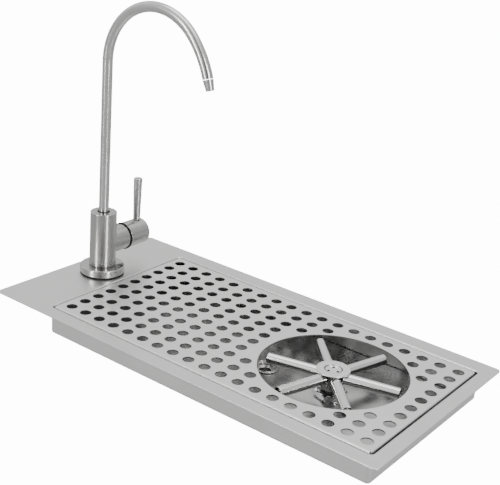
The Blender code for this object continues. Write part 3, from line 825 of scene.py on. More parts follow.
# painted reflection: darkened chrome for the nut's top face, standing in for the dark arms and cap mirrored
# in it
NUT_PAINTED_REFLECTION = MetalFinish("chrome_nut_painted_reflection", "bright_chrome", (0.16, 0.16, 0.163), 0.08, Grain.ROUND_UP,
                       RINSER_AXIS, relief=0.10)
DRAIN_STEEL = MetalFinish("drain_steel", "satin_steel", (0.62, 0.62, 0.61), 0.24, Grain.ROUND_UP,
                          DRAIN_AXIS, relief=0.10)
CHROME = MetalFinish("bright_chrome_plate", "bright_chrome", (0.86, 0.86, 0.865), 0.035, tint=0.01,
                     rough_swing=0.01, haze=0.02, relief=0.01)
TAP_STEEL = MetalFinish("tap_steel_turned", "tap_steel", (0.405, 0.402, 0.397), 0.18, Grain.ROUND_UP,
                        TAP_AXIS, tint=0.07, haze=0.03, relief=0.05, stretch=0.85)
VALVE_STEEL = MetalFinish("tap_steel_side", "tap_steel", (0.405, 0.402, 0.397), 0.20, Grain.ROUND_SIDE,
                          VALVE_AXIS, tint=0.07, haze=0.03, relief=0.05, stretch=0.85)
TUBE_STEEL = MetalFinish("tap_steel_tube", "tap_steel", (0.50, 0.497, 0.492), 0.19, tint=0.05, haze=0.03,
                         relief=0.03, stretch=0.8)
LEVER_STEEL = MetalFinish("tap_steel_lever", "tap_steel", (0.455, 0.452, 0.447), 0.2, Grain.ROUND_UP,
                          tuple(Extent.of("handle_lever").foot), tint=0.06, haze=0.03, relief=0.04,
                          stretch=0.8)
BRASS = MetalFinish("machined_brass", "brass", (0.74, 0.55, 0.27), 0.26, tint=0.06)
WIRE = MetalFinish("drawn_spring_wire", "spring_steel", (0.5, 0.5, 0.51), 0.22)
# real rubber on the gaskets; also put on the jets' walls and the cap's channel as painted shade
RUBBER = MouldedFinish("black_rubber_moulded", "black_rubber", (0.008, 0.008, 0.009), 0.6,
                       dust_amount=0.06, specular=0.15)
PLASTIC = MouldedFinish("black_plastic_moulded", "black_plastic", (0.03, 0.03, 0.032), 0.38, relief=0.12)
CERAMIC = MouldedFinish("lapped_ceramic", "ceramic", (0.82, 0.81, 0.77), 0.22, (0.6, 0.59, 0.55),
                        0.2, relief=0.05)


# ---------------------------------------------------------------- making pieces

def to_mesh(name: str, shape: bmesh.types.BMesh) -> bpy.types.Mesh:
    """Turn a shape in millimetres into a mesh in metres."""
    bmesh.ops.scale(shape, vec=(MM, MM, MM), verts=shape.verts)
    mesh = bpy.data.meshes.new(name)
    shape.to_mesh(mesh)
    shape.free()
    return mesh


def host_object(name: str, mesh: bpy.types.Mesh) -> bpy.types.Object:
    """Put a mesh into the scene as an object at the origin."""
    item = bpy.data.objects.new(name, mesh)
    bpy.context.scene.collection.objects.link(item)
    return item


def evaluated_mesh(item: bpy.types.Object) -> bpy.types.Mesh:
    """Plain mesh of an object with its modifiers; the object itself is removed.

    Args:
        item: object with modifiers.

    Returns:
        The finished mesh.
    """
    graph = bpy.context.evaluated_depsgraph_get()
    mesh = bpy.data.meshes.new_from_object(item.evaluated_get(graph), depsgraph=graph)
    bpy.data.objects.remove(item, do_unlink=True)
    return mesh


def cut_mesh(name: str, target: bmesh.types.BMesh, joined: Sequence[bmesh.types.BMesh] = (),
             removed: Sequence[bmesh.types.BMesh] = ()) -> bpy.types.Mesh:
    """Join shapes to a target and cut others from it.

    Args:
        name: the mesh's name.
        target: the shape to work on.
        joined: shapes united with it first.
        removed: shapes cut from the result.

    Returns:
        The finished mesh, in metres.
    """
    item = host_object(name, to_mesh(name, target))
    tools = []
    for operation, shapes in (("UNION", joined), ("DIFFERENCE", removed)):
        for number, shape in enumerate(shapes):
            label = f"{name}_{operation.lower()}_{number}"
            tool = host_object(label, to_mesh(label, shape))
            step = item.modifiers.new(label, "BOOLEAN")
            step.operation = operation
            step.object = tool
            tools.append(tool)
    mesh = evaluated_mesh(item)
    for tool in tools:
        bpy.data.objects.remove(tool, do_unlink=True)
    return mesh


def grown_mesh(name: str, tree: bpy.types.NodeTree, base: bpy.types.Mesh | None,
               values: dict[str, object]) -> bpy.types.Mesh:
    """Run a Geometry Nodes tree on a mesh and keep the result as a plain mesh.

    Args:
        name: the mesh's name.
        tree: the Geometry Nodes tree.
        base: mesh for its Geometry input, or None.
        values: input name to value.

    Returns:
        The finished mesh.
    """
    item = host_object(name, base or bpy.data.meshes.new(name + "_seed"))
    step = item.modifiers.new("growth", "NODES")
    step.node_group = tree
    sockets = {socket.name: socket.identifier for socket in tree.interface.items_tree
               if socket.item_type == "SOCKET" and socket.in_out == "INPUT"}
    for label, value in values.items():
        step[sockets[label]] = value
    return evaluated_mesh(item)


def joined_mesh(name: str, meshes: Sequence[bpy.types.Mesh]) -> bpy.types.Mesh:
    """One mesh from several, each still a closed shell of its own."""
    whole = bmesh.new()
    for mesh in meshes:
        whole.from_mesh(mesh)
    result = bpy.data.meshes.new(name)
    whole.to_mesh(result)
    whole.free()
    return result


def finish_piece(name: str, made: bpy.types.Mesh | bmesh.types.BMesh, finish: Finish,
                 nodes: Sequence[str], sharp: float = 34.0, rides: bool = True) -> bpy.types.Object:
    """Make a named piece, give it its finish, and hang it on its nodes' body in their place.

    Args:
        name: the piece's name.
        made: its mesh in metres, or its shape in millimetres.
        finish: its surface.
        nodes: the CAD nodes that it stands for, all on one body.
        sharp: angle in degrees above which an edge stays crisp.
        rides: whether the whole piece goes with its nodes' body.

    Returns:
        The piece.
    """
    mesh = to_mesh(name, made) if isinstance(made, bmesh.types.BMesh) else made
    mesh.name = name
    mesh.materials.clear()
    mesh.materials.append(finish.material())
    mesh.shade_smooth()
    mesh.set_sharp_from_angle(angle=math.radians(sharp))
    piece = host_object(name, mesh)
    if rides:
        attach(piece, frame["nodes"][nodes[0]]["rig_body"])
    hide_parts(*nodes)
    LOG.info("%-22s %6d faces for %s", name, len(mesh.polygons), ", ".join(nodes))
    return piece


def reface(piece: bpy.types.Object, finish: Finish, chosen: Callable[[Vector, Vector], bool]) -> None:
    """Give some of a piece's faces a second finish.

    Args:
        piece: the piece.
        finish: the second finish.
        chosen: tells from a face's centre in millimetres and its normal whether it takes it.
    """
    piece.data.materials.append(finish.material())
    for face in piece.data.polygons:
        if chosen(face.center / MM, face.normal):
            face.material_index = len(piece.data.materials) - 1


def dress_node(node: str, finish: Finish) -> None:
    """Give a carried-over CAD node its finish."""
    part = frame["nodes"][node]
    if not part.material_slots:
        part.data.materials.append(None)
    for place in part.material_slots:
        place.material = finish.material()
    LOG.info("%-22s kept, finished as %s", node, finish.name)


# ---------------------------------------------------------------- geometry node trees

class Jigs(Shelf):
    """Geometry Nodes trees for what repeats."""

    @staticmethod
    def close(bench: NodeBench, shape: bpy.types.NodeSocket, finish: bpy.types.NodeSocket,
              sink: bpy.types.Node) -> None:
        """End a tree: make its instances real, give them their finish and hand them out.

        Args:
            bench: the tree's bench.
            shape: the geometry.
            finish: the material.
            sink: the tree's output node.
        """
        whole = bench.add("GeometryNodeRealizeInstances", {"Geometry": shape})
        faced = bench.add("GeometryNodeSetMaterial", {"Geometry": whole.outputs["Geometry"],
                                                      "Material": finish})
        bench.tree.links.new(faced.outputs["Geometry"], sink.inputs["Geometry"])

    @staticmethod
    def punch(bench: NodeBench, diameter: bpy.types.NodeSocket, edge: bpy.types.NodeSocket,
              sides: int) -> bpy.types.NodeSocket:
        """A round punch whose shoulder breaks the upper edge of its hole.

        Args:
            bench: the tree's bench.
            diameter: hole diameter.
            edge: width of the broken edge.
            sides: facets round the punch.

        Returns:
            The punch's geometry, with height zero at the sheet's upper face.
        """
        radius = bench.math("MULTIPLY", diameter, 0.5)
        shank = bench.add("GeometryNodeMeshCylinder", {"Vertices": sides, "Radius": radius, "Depth": 0.006})
        below = bench.math("SUBTRACT", radius, edge)
        above = bench.math("ADD", radius, bench.math("MULTIPLY", edge, 2.0))
        tall = bench.math("MULTIPLY", edge, 3.0)
        shoulder = bench.add("GeometryNodeMeshCone", {"Vertices": sides, "Radius Top": above,
                                                      "Radius Bottom": below, "Depth": tall})
        drop = bench.xyz(z=bench.math("MULTIPLY", edge, -2.0))
        lowered = bench.add("GeometryNodeTransform", {"Geometry": shoulder.outputs["Mesh"],
                                                      "Translation": drop})
        both = bench.add("GeometryNodeMeshBoolean", operation="UNION")
        bench.tree.links.new(shank.outputs["Mesh"], both.inputs[1])
        bench.tree.links.new(lowered.outputs["Geometry"], both.inputs[1])
        return both.outputs["Mesh"]

    @staticmethod
    def perforation() -> bpy.types.NodeTree:
        """Punch a grid of holes, kept clear of one large opening, and the opening itself.

        Returns:
            The tree.
        """
        tree, bench, source, sink = new_group(
            "perforation", "GeometryNodeTree",
            (("Geometry", "NodeSocketGeometry", None), ("First Hole", "NodeSocketVector", None),
             ("Hole Diameter", "NodeSocketFloat", 0.01), ("Pitch X", "NodeSocketFloat", 0.017),
             ("Pitch Y", "NodeSocketFloat", 0.016), ("Columns", "NodeSocketInt", 19),
             ("Rows", "NodeSocketInt", 10), ("Opening Centre", "NodeSocketVector", None),
             ("Opening Diameter", "NodeSocketFloat", 0.125), ("Web", "NodeSocketFloat", 0.002),
             ("Edge Break", "NodeSocketFloat", 0.00015), ("Finish", "NodeSocketMaterial", None)),
            (("Geometry", "NodeSocketGeometry"),))
        given = source.outputs
        wide = bench.math("MULTIPLY", given["Pitch X"], bench.math("SUBTRACT", given["Columns"], 1.0))
        deep = bench.math("MULTIPLY", given["Pitch Y"], bench.math("SUBTRACT", given["Rows"], 1.0))
        grid = bench.add("GeometryNodeMeshGrid", {"Size X": wide, "Size Y": deep,
                                                  "Vertices X": given["Columns"],
                                                  "Vertices Y": given["Rows"]})
        half = bench.xyz(bench.math("MULTIPLY", wide, 0.5), bench.math("MULTIPLY", deep, 0.5))
        start = bench.vector("ADD", given["First Hole"], half)
        placed = bench.add("GeometryNodeTransform", {"Geometry": grid.outputs["Mesh"], "Translation": start})
        position = bench.add("GeometryNodeInputPosition").outputs[0]
        distance = bench.add("ShaderNodeVectorMath", {0: position, 1: given["Opening Centre"]},
                             operation="DISTANCE").outputs["Value"]
        across = bench.math("ADD", given["Opening Diameter"], given["Hole Diameter"])
        reach = bench.math("ADD", bench.math("MULTIPLY", across, 0.5), given["Web"])
        near = bench.math("LESS_THAN", distance, reach)
        kept = bench.add("GeometryNodeDeleteGeometry", {"Geometry": placed.outputs["Geometry"],
                                                        "Selection": near}, domain="POINT")
        small = Jigs.punch(bench, given["Hole Diameter"], given["Edge Break"], COARSE)
        row = bench.add("GeometryNodeInstanceOnPoints", {"Points": kept.outputs["Geometry"],
                                                         "Instance": small})
        tools = bench.add("GeometryNodeRealizeInstances", {"Geometry": row.outputs["Instances"]})
        large = Jigs.punch(bench, given["Opening Diameter"], given["Edge Break"], 2 * FINE)
        moved = bench.add("GeometryNodeTransform", {"Geometry": large,
                                                    "Translation": given["Opening Centre"]})
        cut = bench.add("GeometryNodeMeshBoolean", {0: given["Geometry"]}, operation="DIFFERENCE")
        bench.tree.links.new(tools.outputs["Geometry"], cut.inputs[1])
        bench.tree.links.new(moved.outputs["Geometry"], cut.inputs[1])
        Jigs.close(bench, cut.outputs["Mesh"], given["Finish"], sink)
        return tree

    @staticmethod
    def circular_array() -> bpy.types.NodeTree:
        """Repeat a shape round an upright axis.

        Returns:
            The tree.
        """
        tree, bench, source, sink = new_group(
            "circular_array", "GeometryNodeTree",
            (("Geometry", "NodeSocketGeometry", None), ("Count", "NodeSocketInt", 6),
             ("Phase", "NodeSocketFloat", 0.0), ("Centre", "NodeSocketVector", None),
             ("Finish", "NodeSocketMaterial", None)),
            (("Geometry", "NodeSocketGeometry"),))
        given = source.outputs
        spots = bench.add("GeometryNodeMeshLine", {"Count": given["Count"],
                                                   "Start Location": given["Centre"],
                                                   "Offset": (0.0, 0.0, 0.0)})
        index = bench.add("GeometryNodeInputIndex").outputs[0]
        share = bench.math("DIVIDE", math.tau, given["Count"])
        angle = bench.math("ADD", bench.math("MULTIPLY", index, share), given["Phase"])
        turn = bench.add("FunctionNodeAxisAngleToRotation", {"Axis": (0.0, 0.0, 1.0), "Angle": angle})
        copies = bench.add("GeometryNodeInstanceOnPoints", {"Points": spots.outputs["Mesh"],
                                                            "Instance": given["Geometry"],
                                                            "Rotation": turn.outputs["Rotation"]})
        Jigs.close(bench, copies.outputs["Instances"], given["Finish"], sink)
        return tree

    @staticmethod
    def screw_thread() -> bpy.types.NodeTree:
        """Helical ridge of a screw thread, climbing from its foot.

        Returns:
            The tree.
        """
        tree, bench, source, sink = new_group(
            "screw_thread", "GeometryNodeTree",
            (("Foot", "NodeSocketVector", None), ("Crest Radius", "NodeSocketFloat", 0.01),
             ("Pitch", "NodeSocketFloat", 0.001), ("Turns", "NodeSocketFloat", 5.0),
             ("Finish", "NodeSocketMaterial", None)),
            (("Geometry", "NodeSocketGeometry"),))
        given = source.outputs
        half = bench.math("MULTIPLY", given["Pitch"], 0.5)
        radius = bench.math("SUBTRACT", given["Crest Radius"], half)
        height = bench.math("MULTIPLY", given["Pitch"], given["Turns"])
        helix = bench.add("GeometryNodeCurveSpiral", {"Resolution": COARSE, "Rotations": given["Turns"],
                                                      "Start Radius": radius, "End Radius": radius,
                                                      "Height": height})
        ridge = bench.add("GeometryNodeCurvePrimitiveCircle", {"Resolution": 4, "Radius": half})
        swept_ridge = bench.add("GeometryNodeCurveToMesh", {"Curve": helix.outputs["Curve"],
                                                            "Profile Curve": ridge.outputs["Curve"],
                                                            "Fill Caps": True})
        moved = bench.add("GeometryNodeTransform", {"Geometry": swept_ridge.outputs["Mesh"],
                                                    "Translation": given["Foot"]})
        Jigs.close(bench, moved.outputs["Geometry"], given["Finish"], sink)
        return tree


@dataclass(frozen=True)
class Thread:
    """Outer screw thread on an upright piece; heights and radii are millimetres."""

    crest: float
    pitch: float
    low: float
    high: float

    @property
    def core(self) -> float:
        """Radius of the rod under the ridge."""
        return self.crest - 0.45 * self.pitch

    def mesh(self, place: Vector, finish: Finish) -> bpy.types.Mesh:
        """The ridge as a mesh.

        Args:
            place: point on the axis at height zero.
            finish: its surface.

        Returns:
            The mesh, in metres.
        """
        half = 0.5 * self.pitch
        turns = (self.high - self.low - self.pitch) / self.pitch
        foot = (place + Vector((0.0, 0.0, self.low + half))) * MM
        return grown_mesh("thread", Jigs.get("screw_thread"), None, {
            "Foot": foot, "Crest Radius": self.crest * MM, "Pitch": self.pitch * MM,
            "Turns": turns, "Finish": finish.material()})


# ---------------------------------------------------------------- plain rings

@dataclass(frozen=True)
class Ring:
    """Gasket, washer or sleeve: its outer size is its node's, its bore is its own."""

    node: str
    finish: Finish
    bore: float
    ease: float = 0.25
    axis: Axis = Axis.UP

    def make(self) -> bpy.types.Object:
        """Build the ring in its node's place.

        Returns:
            The piece.
        """
        box = Extent.of(self.node)
        outer = 0.5 * box.size.x
        if self.axis is Axis.UP:
            place = box.foot
            low, high = box.low.z, box.high.z
        else:
            place = Vector((box.middle.x, 0.0, box.middle.z))
            low, high = box.low.y, box.high.y
        profile = eased(tube_profile(outer, self.bore, low, high), self.ease)
        return finish_piece(self.node + "_piece", turned(profile, place, self.axis.vector, FINE),
                            self.finish, (self.node,))


# ---------------------------------------------------------------- tray

@dataclass
class BasinTray:
    """Flange and basin pressed from one sheet."""

    sheet: float = 1.2
    flange_corner: float = 4.5
    edge_break: float = 0.25
    basin_corner: float = 3.0
    rim_bend: float = 1.2
    foot_bend: float = 2.0
    gap_left: float = 1.1
    gap_right: float = 1.9
    gap_side: float = 1.4
    bend_steps: int = 6
    tap_hole: float = 6.2
    drain_hole: float = 8.6
    rinser_hole: float = 10.8

    def __post_init__(self) -> None:
        """Read the flange's box and the grate's, which the basin follows."""
        self.box = Extent.of("basin_tray")
        grate = Extent.of("grate")
        self.basin_x = (grate.low.x - self.gap_left, grate.high.x + self.gap_right)
        self.basin_y = (grate.low.y - self.gap_side, grate.high.y + self.gap_side)
        self.top = self.box.high.z
        self.floor = self.box.low.z + self.sheet

    def basin(self, amount: float, height: float) -> tuple[Outline, float]:
        """The basin's outline grown by an amount, at a height."""
        radius = max(0.8, self.basin_corner + amount)
        return rounded_rectangle(widened(self.basin_x, amount), widened(self.basin_y, amount), radius), height

    def flange(self, amount: float, height: float) -> tuple[Outline, float]:
        """The flange's outline grown by an amount, at a height."""
        x_range = widened((self.box.low.x, self.box.high.x), amount)
        y_range = widened((self.box.low.y, self.box.high.y), amount)
        return rounded_rectangle(x_range, y_range, self.flange_corner + amount), height

    def foot(self, radius: float, reverse: bool = False) -> list[tuple[Outline, float]]:
        """The bend from the basin's floor into its wall, about the bend's own centre.

        Args:
            radius: the inner or the outer radius of the bend.
            reverse: run it from the wall to the floor.

        Returns:
            Its outlines and heights.
        """
        levels = [self.basin(-self.foot_bend + radius * s, self.floor + self.foot_bend - radius * c)
                  for c, s in quarter(self.bend_steps)]
        return levels[::-1] if reverse else levels

    def levels(self) -> list[tuple[Outline, float]]:
        """Outlines of the whole skin: floor, inner wall, rim, flange, outer wall, underside."""
        hold = BEND_HOLD
        under = self.floor - self.sheet
        rim = [self.basin(self.rim_bend * (1.0 - c), self.top - self.rim_bend * (1.0 - s))
               for c, s in quarter(self.bend_steps)]
        return [
            self.basin(-self.foot_bend - hold, self.floor),
            *self.foot(self.foot_bend),
            self.basin(0.0, self.floor + self.foot_bend + hold),
            self.basin(0.0, self.top - self.rim_bend - hold),
            *rim,
            self.basin(self.rim_bend + hold, self.top),
            self.flange(-self.edge_break - hold, self.top),
            self.flange(-self.edge_break, self.top),
            self.flange(-0.3 * self.edge_break, self.top - 0.3 * self.edge_break),
            self.flange(0.0, self.top - self.edge_break),
            self.flange(0.0, self.edge_break),
            self.flange(-self.edge_break, 0.0),
            self.flange(-self.edge_break - hold, 0.0),
            self.basin(self.sheet + hold, 0.0),
            self.basin(self.sheet, 0.0),
            self.basin(self.sheet, -hold),
            self.basin(self.sheet, self.floor + self.foot_bend + hold),
            *self.foot(self.foot_bend + self.sheet, reverse=True),
            self.basin(-self.foot_bend - hold, under),
        ]

    def make(self) -> None:
        """Build the tray, with the basin's inside polished."""
        holes = []
        for node, radius in (("tap_base_ring", self.tap_hole), ("drain_body", self.drain_hole),
                             ("rinser_cap", self.rinser_hole)):
            profile = rod_profile(radius, self.box.low.z - THROUGH, self.top + THROUGH)
            holes.append(turned(profile, Extent.of(node).foot))
        mesh = cut_mesh("tray_shell", skinned(self.levels()), removed=holes)
        piece = finish_piece("tray_shell", mesh, SHEET_STEEL, ("basin_tray",))
        reface(piece, BASIN_STEEL, self.is_inside)

    def is_inside(self, centre: Vector, normal: Vector) -> bool:
        """Whether a face belongs to the basin's polished inside."""
        above_floor = self.floor - 0.1 < centre.z < self.top - 0.5 * self.rim_bend
        within = (self.basin_x[0] - 0.1 < centre.x < self.basin_x[1] + 0.1
                  and self.basin_y[0] - 0.1 < centre.y < self.basin_y[1] + 0.1)
        return above_floor and within and normal.z > -0.1


@dataclass
class Grate:
    """Perforated cover plate with folded edges."""

    sheet: float = 1.2
    fold: float = 1.4
    corner: float = 0.9
    bend_steps: int = 6
    hole: float = 10.0
    columns: int = 19
    rows: int = 10
    pitch_x: float = 17.0
    pitch_y: float = 16.0
    margin_x: float = 10.9
    margin_y: float = 11.6
    opening: float = 125.0
    web: float = 2.0
    edge_break: float = 0.15
    relief_hole: float = 0.8

    def __post_init__(self) -> None:
        """Read the plate's box."""
        self.box = Extent.of("grate")

    def plate(self, amount: float, height: float) -> tuple[Outline, float]:
        """The plate's outline grown by an amount, at a height."""
        x_range = widened((self.box.low.x, self.box.high.x), amount)
        y_range = widened((self.box.low.y, self.box.high.y), amount)
        return rounded_rectangle(x_range, y_range, max(0.3, self.corner + amount), 4, 0.3), height

    def skin(self) -> bmesh.types.BMesh:
        """The folded sheet before it is punched."""
        top = self.box.high.z
        foot = self.box.low.z
        bend = [self.plate(-self.fold * (1.0 - c), top - self.fold * (1.0 - s))
                for c, s in quarter(self.bend_steps)]
        return skinned([
            self.plate(-self.sheet, top - self.sheet),
            self.plate(-self.sheet, foot + self.edge_break),
            self.plate(-self.sheet + self.edge_break, foot),
            self.plate(-self.edge_break, foot),
            self.plate(0.0, foot + self.edge_break),
            self.plate(0.0, top - self.fold - BEND_HOLD),
            *bend,
            self.plate(-self.fold - BEND_HOLD, top),
        ])

    def relief_cuts(self) -> list[bmesh.types.BMesh]:
        """Small round cuts at the four corners, where the folds meet."""
        inset = self.relief_hole
        profile = rod_profile(self.relief_hole, self.box.high.z - 4.0, self.box.high.z + 2.0)
        return [turned(profile, Vector((x, y, 0.0)), sides=COARSE)
                for x in (self.box.low.x + inset, self.box.high.x - inset)
                for y in (self.box.low.y + inset, self.box.high.y - inset)]

    def make(self) -> None:
        """Fold, punch and finish the plate."""
        folded = cut_mesh("grate_blank", self.skin(), removed=self.relief_cuts())
        top = self.box.high.z
        first = Vector((self.box.low.x + self.margin_x, self.box.low.y + self.margin_y, top))
        centre = Extent.of("rinser_cap").foot + Vector((0.0, 0.0, top))
        mesh = grown_mesh("grate_plate", Jigs.get("perforation"), folded, {
            "First Hole": first * MM, "Hole Diameter": self.hole * MM, "Pitch X": self.pitch_x * MM,
            "Pitch Y": self.pitch_y * MM, "Columns": self.columns, "Rows": self.rows,
            "Opening Centre": centre * MM, "Opening Diameter": self.opening * MM, "Web": self.web * MM,
            "Edge Break": self.edge_break * MM, "Finish": PLATE_STEEL.material()})
        piece = finish_piece("grate_plate", mesh, PLATE_STEEL, ("grate",))
        # painted shade: hole walls, cut edges and the inner side are darkened, though they are the same steel
        reface(piece, PLATE_PAINTED_SHADE, self.is_underside)

    def is_underside(self, centre: Vector, normal: Vector) -> bool:
        """Whether a face is a cut edge or on the sheet's inner side, where the plate takes painted shade."""
        lining = self.sheet + 0.05
        within = (self.box.low.x + 0.5 < centre.x < self.box.high.x - 0.5
                  and self.box.low.y + 0.5 < centre.y < self.box.high.y - 0.5)
        return within and (normal.z < 0.3 or centre.z < self.box.high.z - lining)


# ---------------------------------------------------------------- drain

@dataclass
class Drain:
    """Waste outlet through the basin floor, with its seal and back nut."""

    bore: float = 5.5
    mouth: float = 8.8
    lip: float = 1.0
    groove: tuple[float, float] = (9.5, 10.3)
    groove_depth: float = 0.35
    pitch: float = 1.8
    nut_flats: float = 26.0
    nut_bore: float = 8.6

    def make(self) -> None:
        """Build the outlet, its thread, gasket and nut."""
        box = Extent.of("drain_body")
        place = box.foot
        rim = 0.5 * box.size.x
        top = box.high.z
        seat = top - self.lip
        nut = Extent.of("drain_nut")
        thread = Thread(self.nut_bore - 0.4, self.pitch, box.low.z + 12.0, nut.high.z + 2.0)
        spigot = thread.core - 0.6
        inner, outer = self.groove
        profile = [(self.bore, box.low.z), (spigot, box.low.z), (spigot, thread.low - 1.0),
                   (thread.core, thread.low), (thread.core, seat), (rim - 0.4, seat), (rim, seat + 0.5),
                   (rim - 0.4, top), (outer, top), (outer, top - self.groove_depth),
                   (inner, top - self.groove_depth), (inner, top), (self.mouth, top),
                   (self.mouth - 1.0, top - 2.0), (self.bore, top - 4.0)]
        body = to_mesh("drain_outlet", turned(eased(profile, 0.2), place))
        mesh = joined_mesh("drain_outlet", (body, thread.mesh(place, DRAIN_STEEL)))
        finish_piece("drain_outlet", mesh, DRAIN_STEEL, ("drain_body",))
        Ring("drain_gasket", RUBBER, self.nut_bore).make()
        shape = hexagon_nut(self.nut_flats, self.nut_bore, nut.low.z, nut.high.z, nut.foot)
        finish_piece("drain_back_nut", shape, PLASTIC, ("drain_nut",))


# ---------------------------------------------------------------- rinser

@dataclass
class RinserBase:
    """Fixed half of the rinser: threaded housing, its fixings, seal and water inlet."""

    bore: float = 8.3
    foot_bore: float = 6.0
    throat: float = 2.5
    throat_length: float = 2.0
    shoulder: float = 3.0
    shoulder_width: float = 4.55
    pitch: float = 1.25
    nut_flats: float = 24.4
    nut_turn: float = 39.3
    clearance: float = 10.8
    inlet_collar: float = 4.4
    barbs: int = 4
    barb_root: float = 4.1
    barb_crest: float = 4.9
    barb_end: float = 3.9
    gap: float = 0.3

    def make_housing(self) -> None:
        """Build the housing with its thread above and below the sealing shoulder."""
        box = Extent.of("rinser_housing")
        flange_radius = 0.5 * box.size.x
        outer = flange_radius - self.shoulder_width
        place = box.foot
        gasket = Extent.of("rinser_gasket")
        spring = Extent.of("rinser_spring")
        flange = gasket.low.z - self.gap
        upper = Thread(outer, self.pitch, flange + 1.0, box.high.z - 0.2)
        lower = Thread(outer, self.pitch, box.low.z + 3.0, flange - self.shoulder - 4.0)
        step = spring.low.z - 2.0 * self.gap
        throat_end = step - self.throat_length
        profile = [(self.bore, box.high.z), (self.bore, step), (self.throat, step),
                   (self.throat, throat_end), (self.foot_bore, throat_end), (self.foot_bore, box.low.z),
                   (lower.core, box.low.z),
                   (lower.core, flange - self.shoulder), (flange_radius, flange - self.shoulder),
                   (flange_radius, flange), (upper.core, flange), (upper.core, box.high.z)]
        body = to_mesh("rinser_shell", turned(eased(profile, 0.25), place))
        ridges = (upper.mesh(place, CHROME), lower.mesh(place, CHROME))
        mesh = joined_mesh("rinser_shell", (body, *ridges))
        finish_piece("rinser_shell", mesh, CHROME, ("rinser_housing",))

    def make_inlet(self) -> None:
        """Build the barbed hose inlet under the housing."""
        box = Extent.of("rinser_inlet")
        foot = Extent.of("rinser_housing").low.z
        collar = 0.5 * box.size.x
        plug = self.foot_bore - self.gap
        shoulder = foot - self.gap
        barb_top = shoulder - self.inlet_collar
        length = (barb_top - box.low.z - 1.0) / self.barbs
        profile = [(self.throat, box.high.z), (plug, box.high.z), (plug, shoulder), (collar, shoulder),
                   (collar, barb_top)]
        for number in range(self.barbs):
            profile += [(self.barb_root, barb_top - number * length),
                        (self.barb_crest, barb_top - (number + 0.7) * length)]
        profile += [(self.barb_root, barb_top - self.barbs * length), (self.barb_end, box.low.z),
                    (self.throat, box.low.z)]
        finish_piece("rinser_hose_tail", turned(eased(profile, 0.15), box.foot), BRASS, ("rinser_inlet",))

    def make(self) -> None:
        """Build the whole fixed half."""
        self.make_housing()
        self.make_inlet()
        Ring("rinser_gasket", RUBBER, self.clearance).make()
        Ring("rinser_washer", CHROME, self.clearance, 0.3).make()
        nut = Extent.of("rinser_nut")
        shape = hexagon_nut(self.nut_flats, self.clearance, nut.low.z, nut.high.z, nut.foot, self.nut_turn)
        piece = finish_piece("rinser_hex_nut", shape, CHROME, ("rinser_nut",))
        # painted reflection: the upward faces of the nut are darkened
        reface(piece, NUT_PAINTED_REFLECTION, lambda centre, normal: normal.z > 0.95)
        dress_node("rinser_gland", PLASTIC)
        dress_node("gland_o_ring", RUBBER)


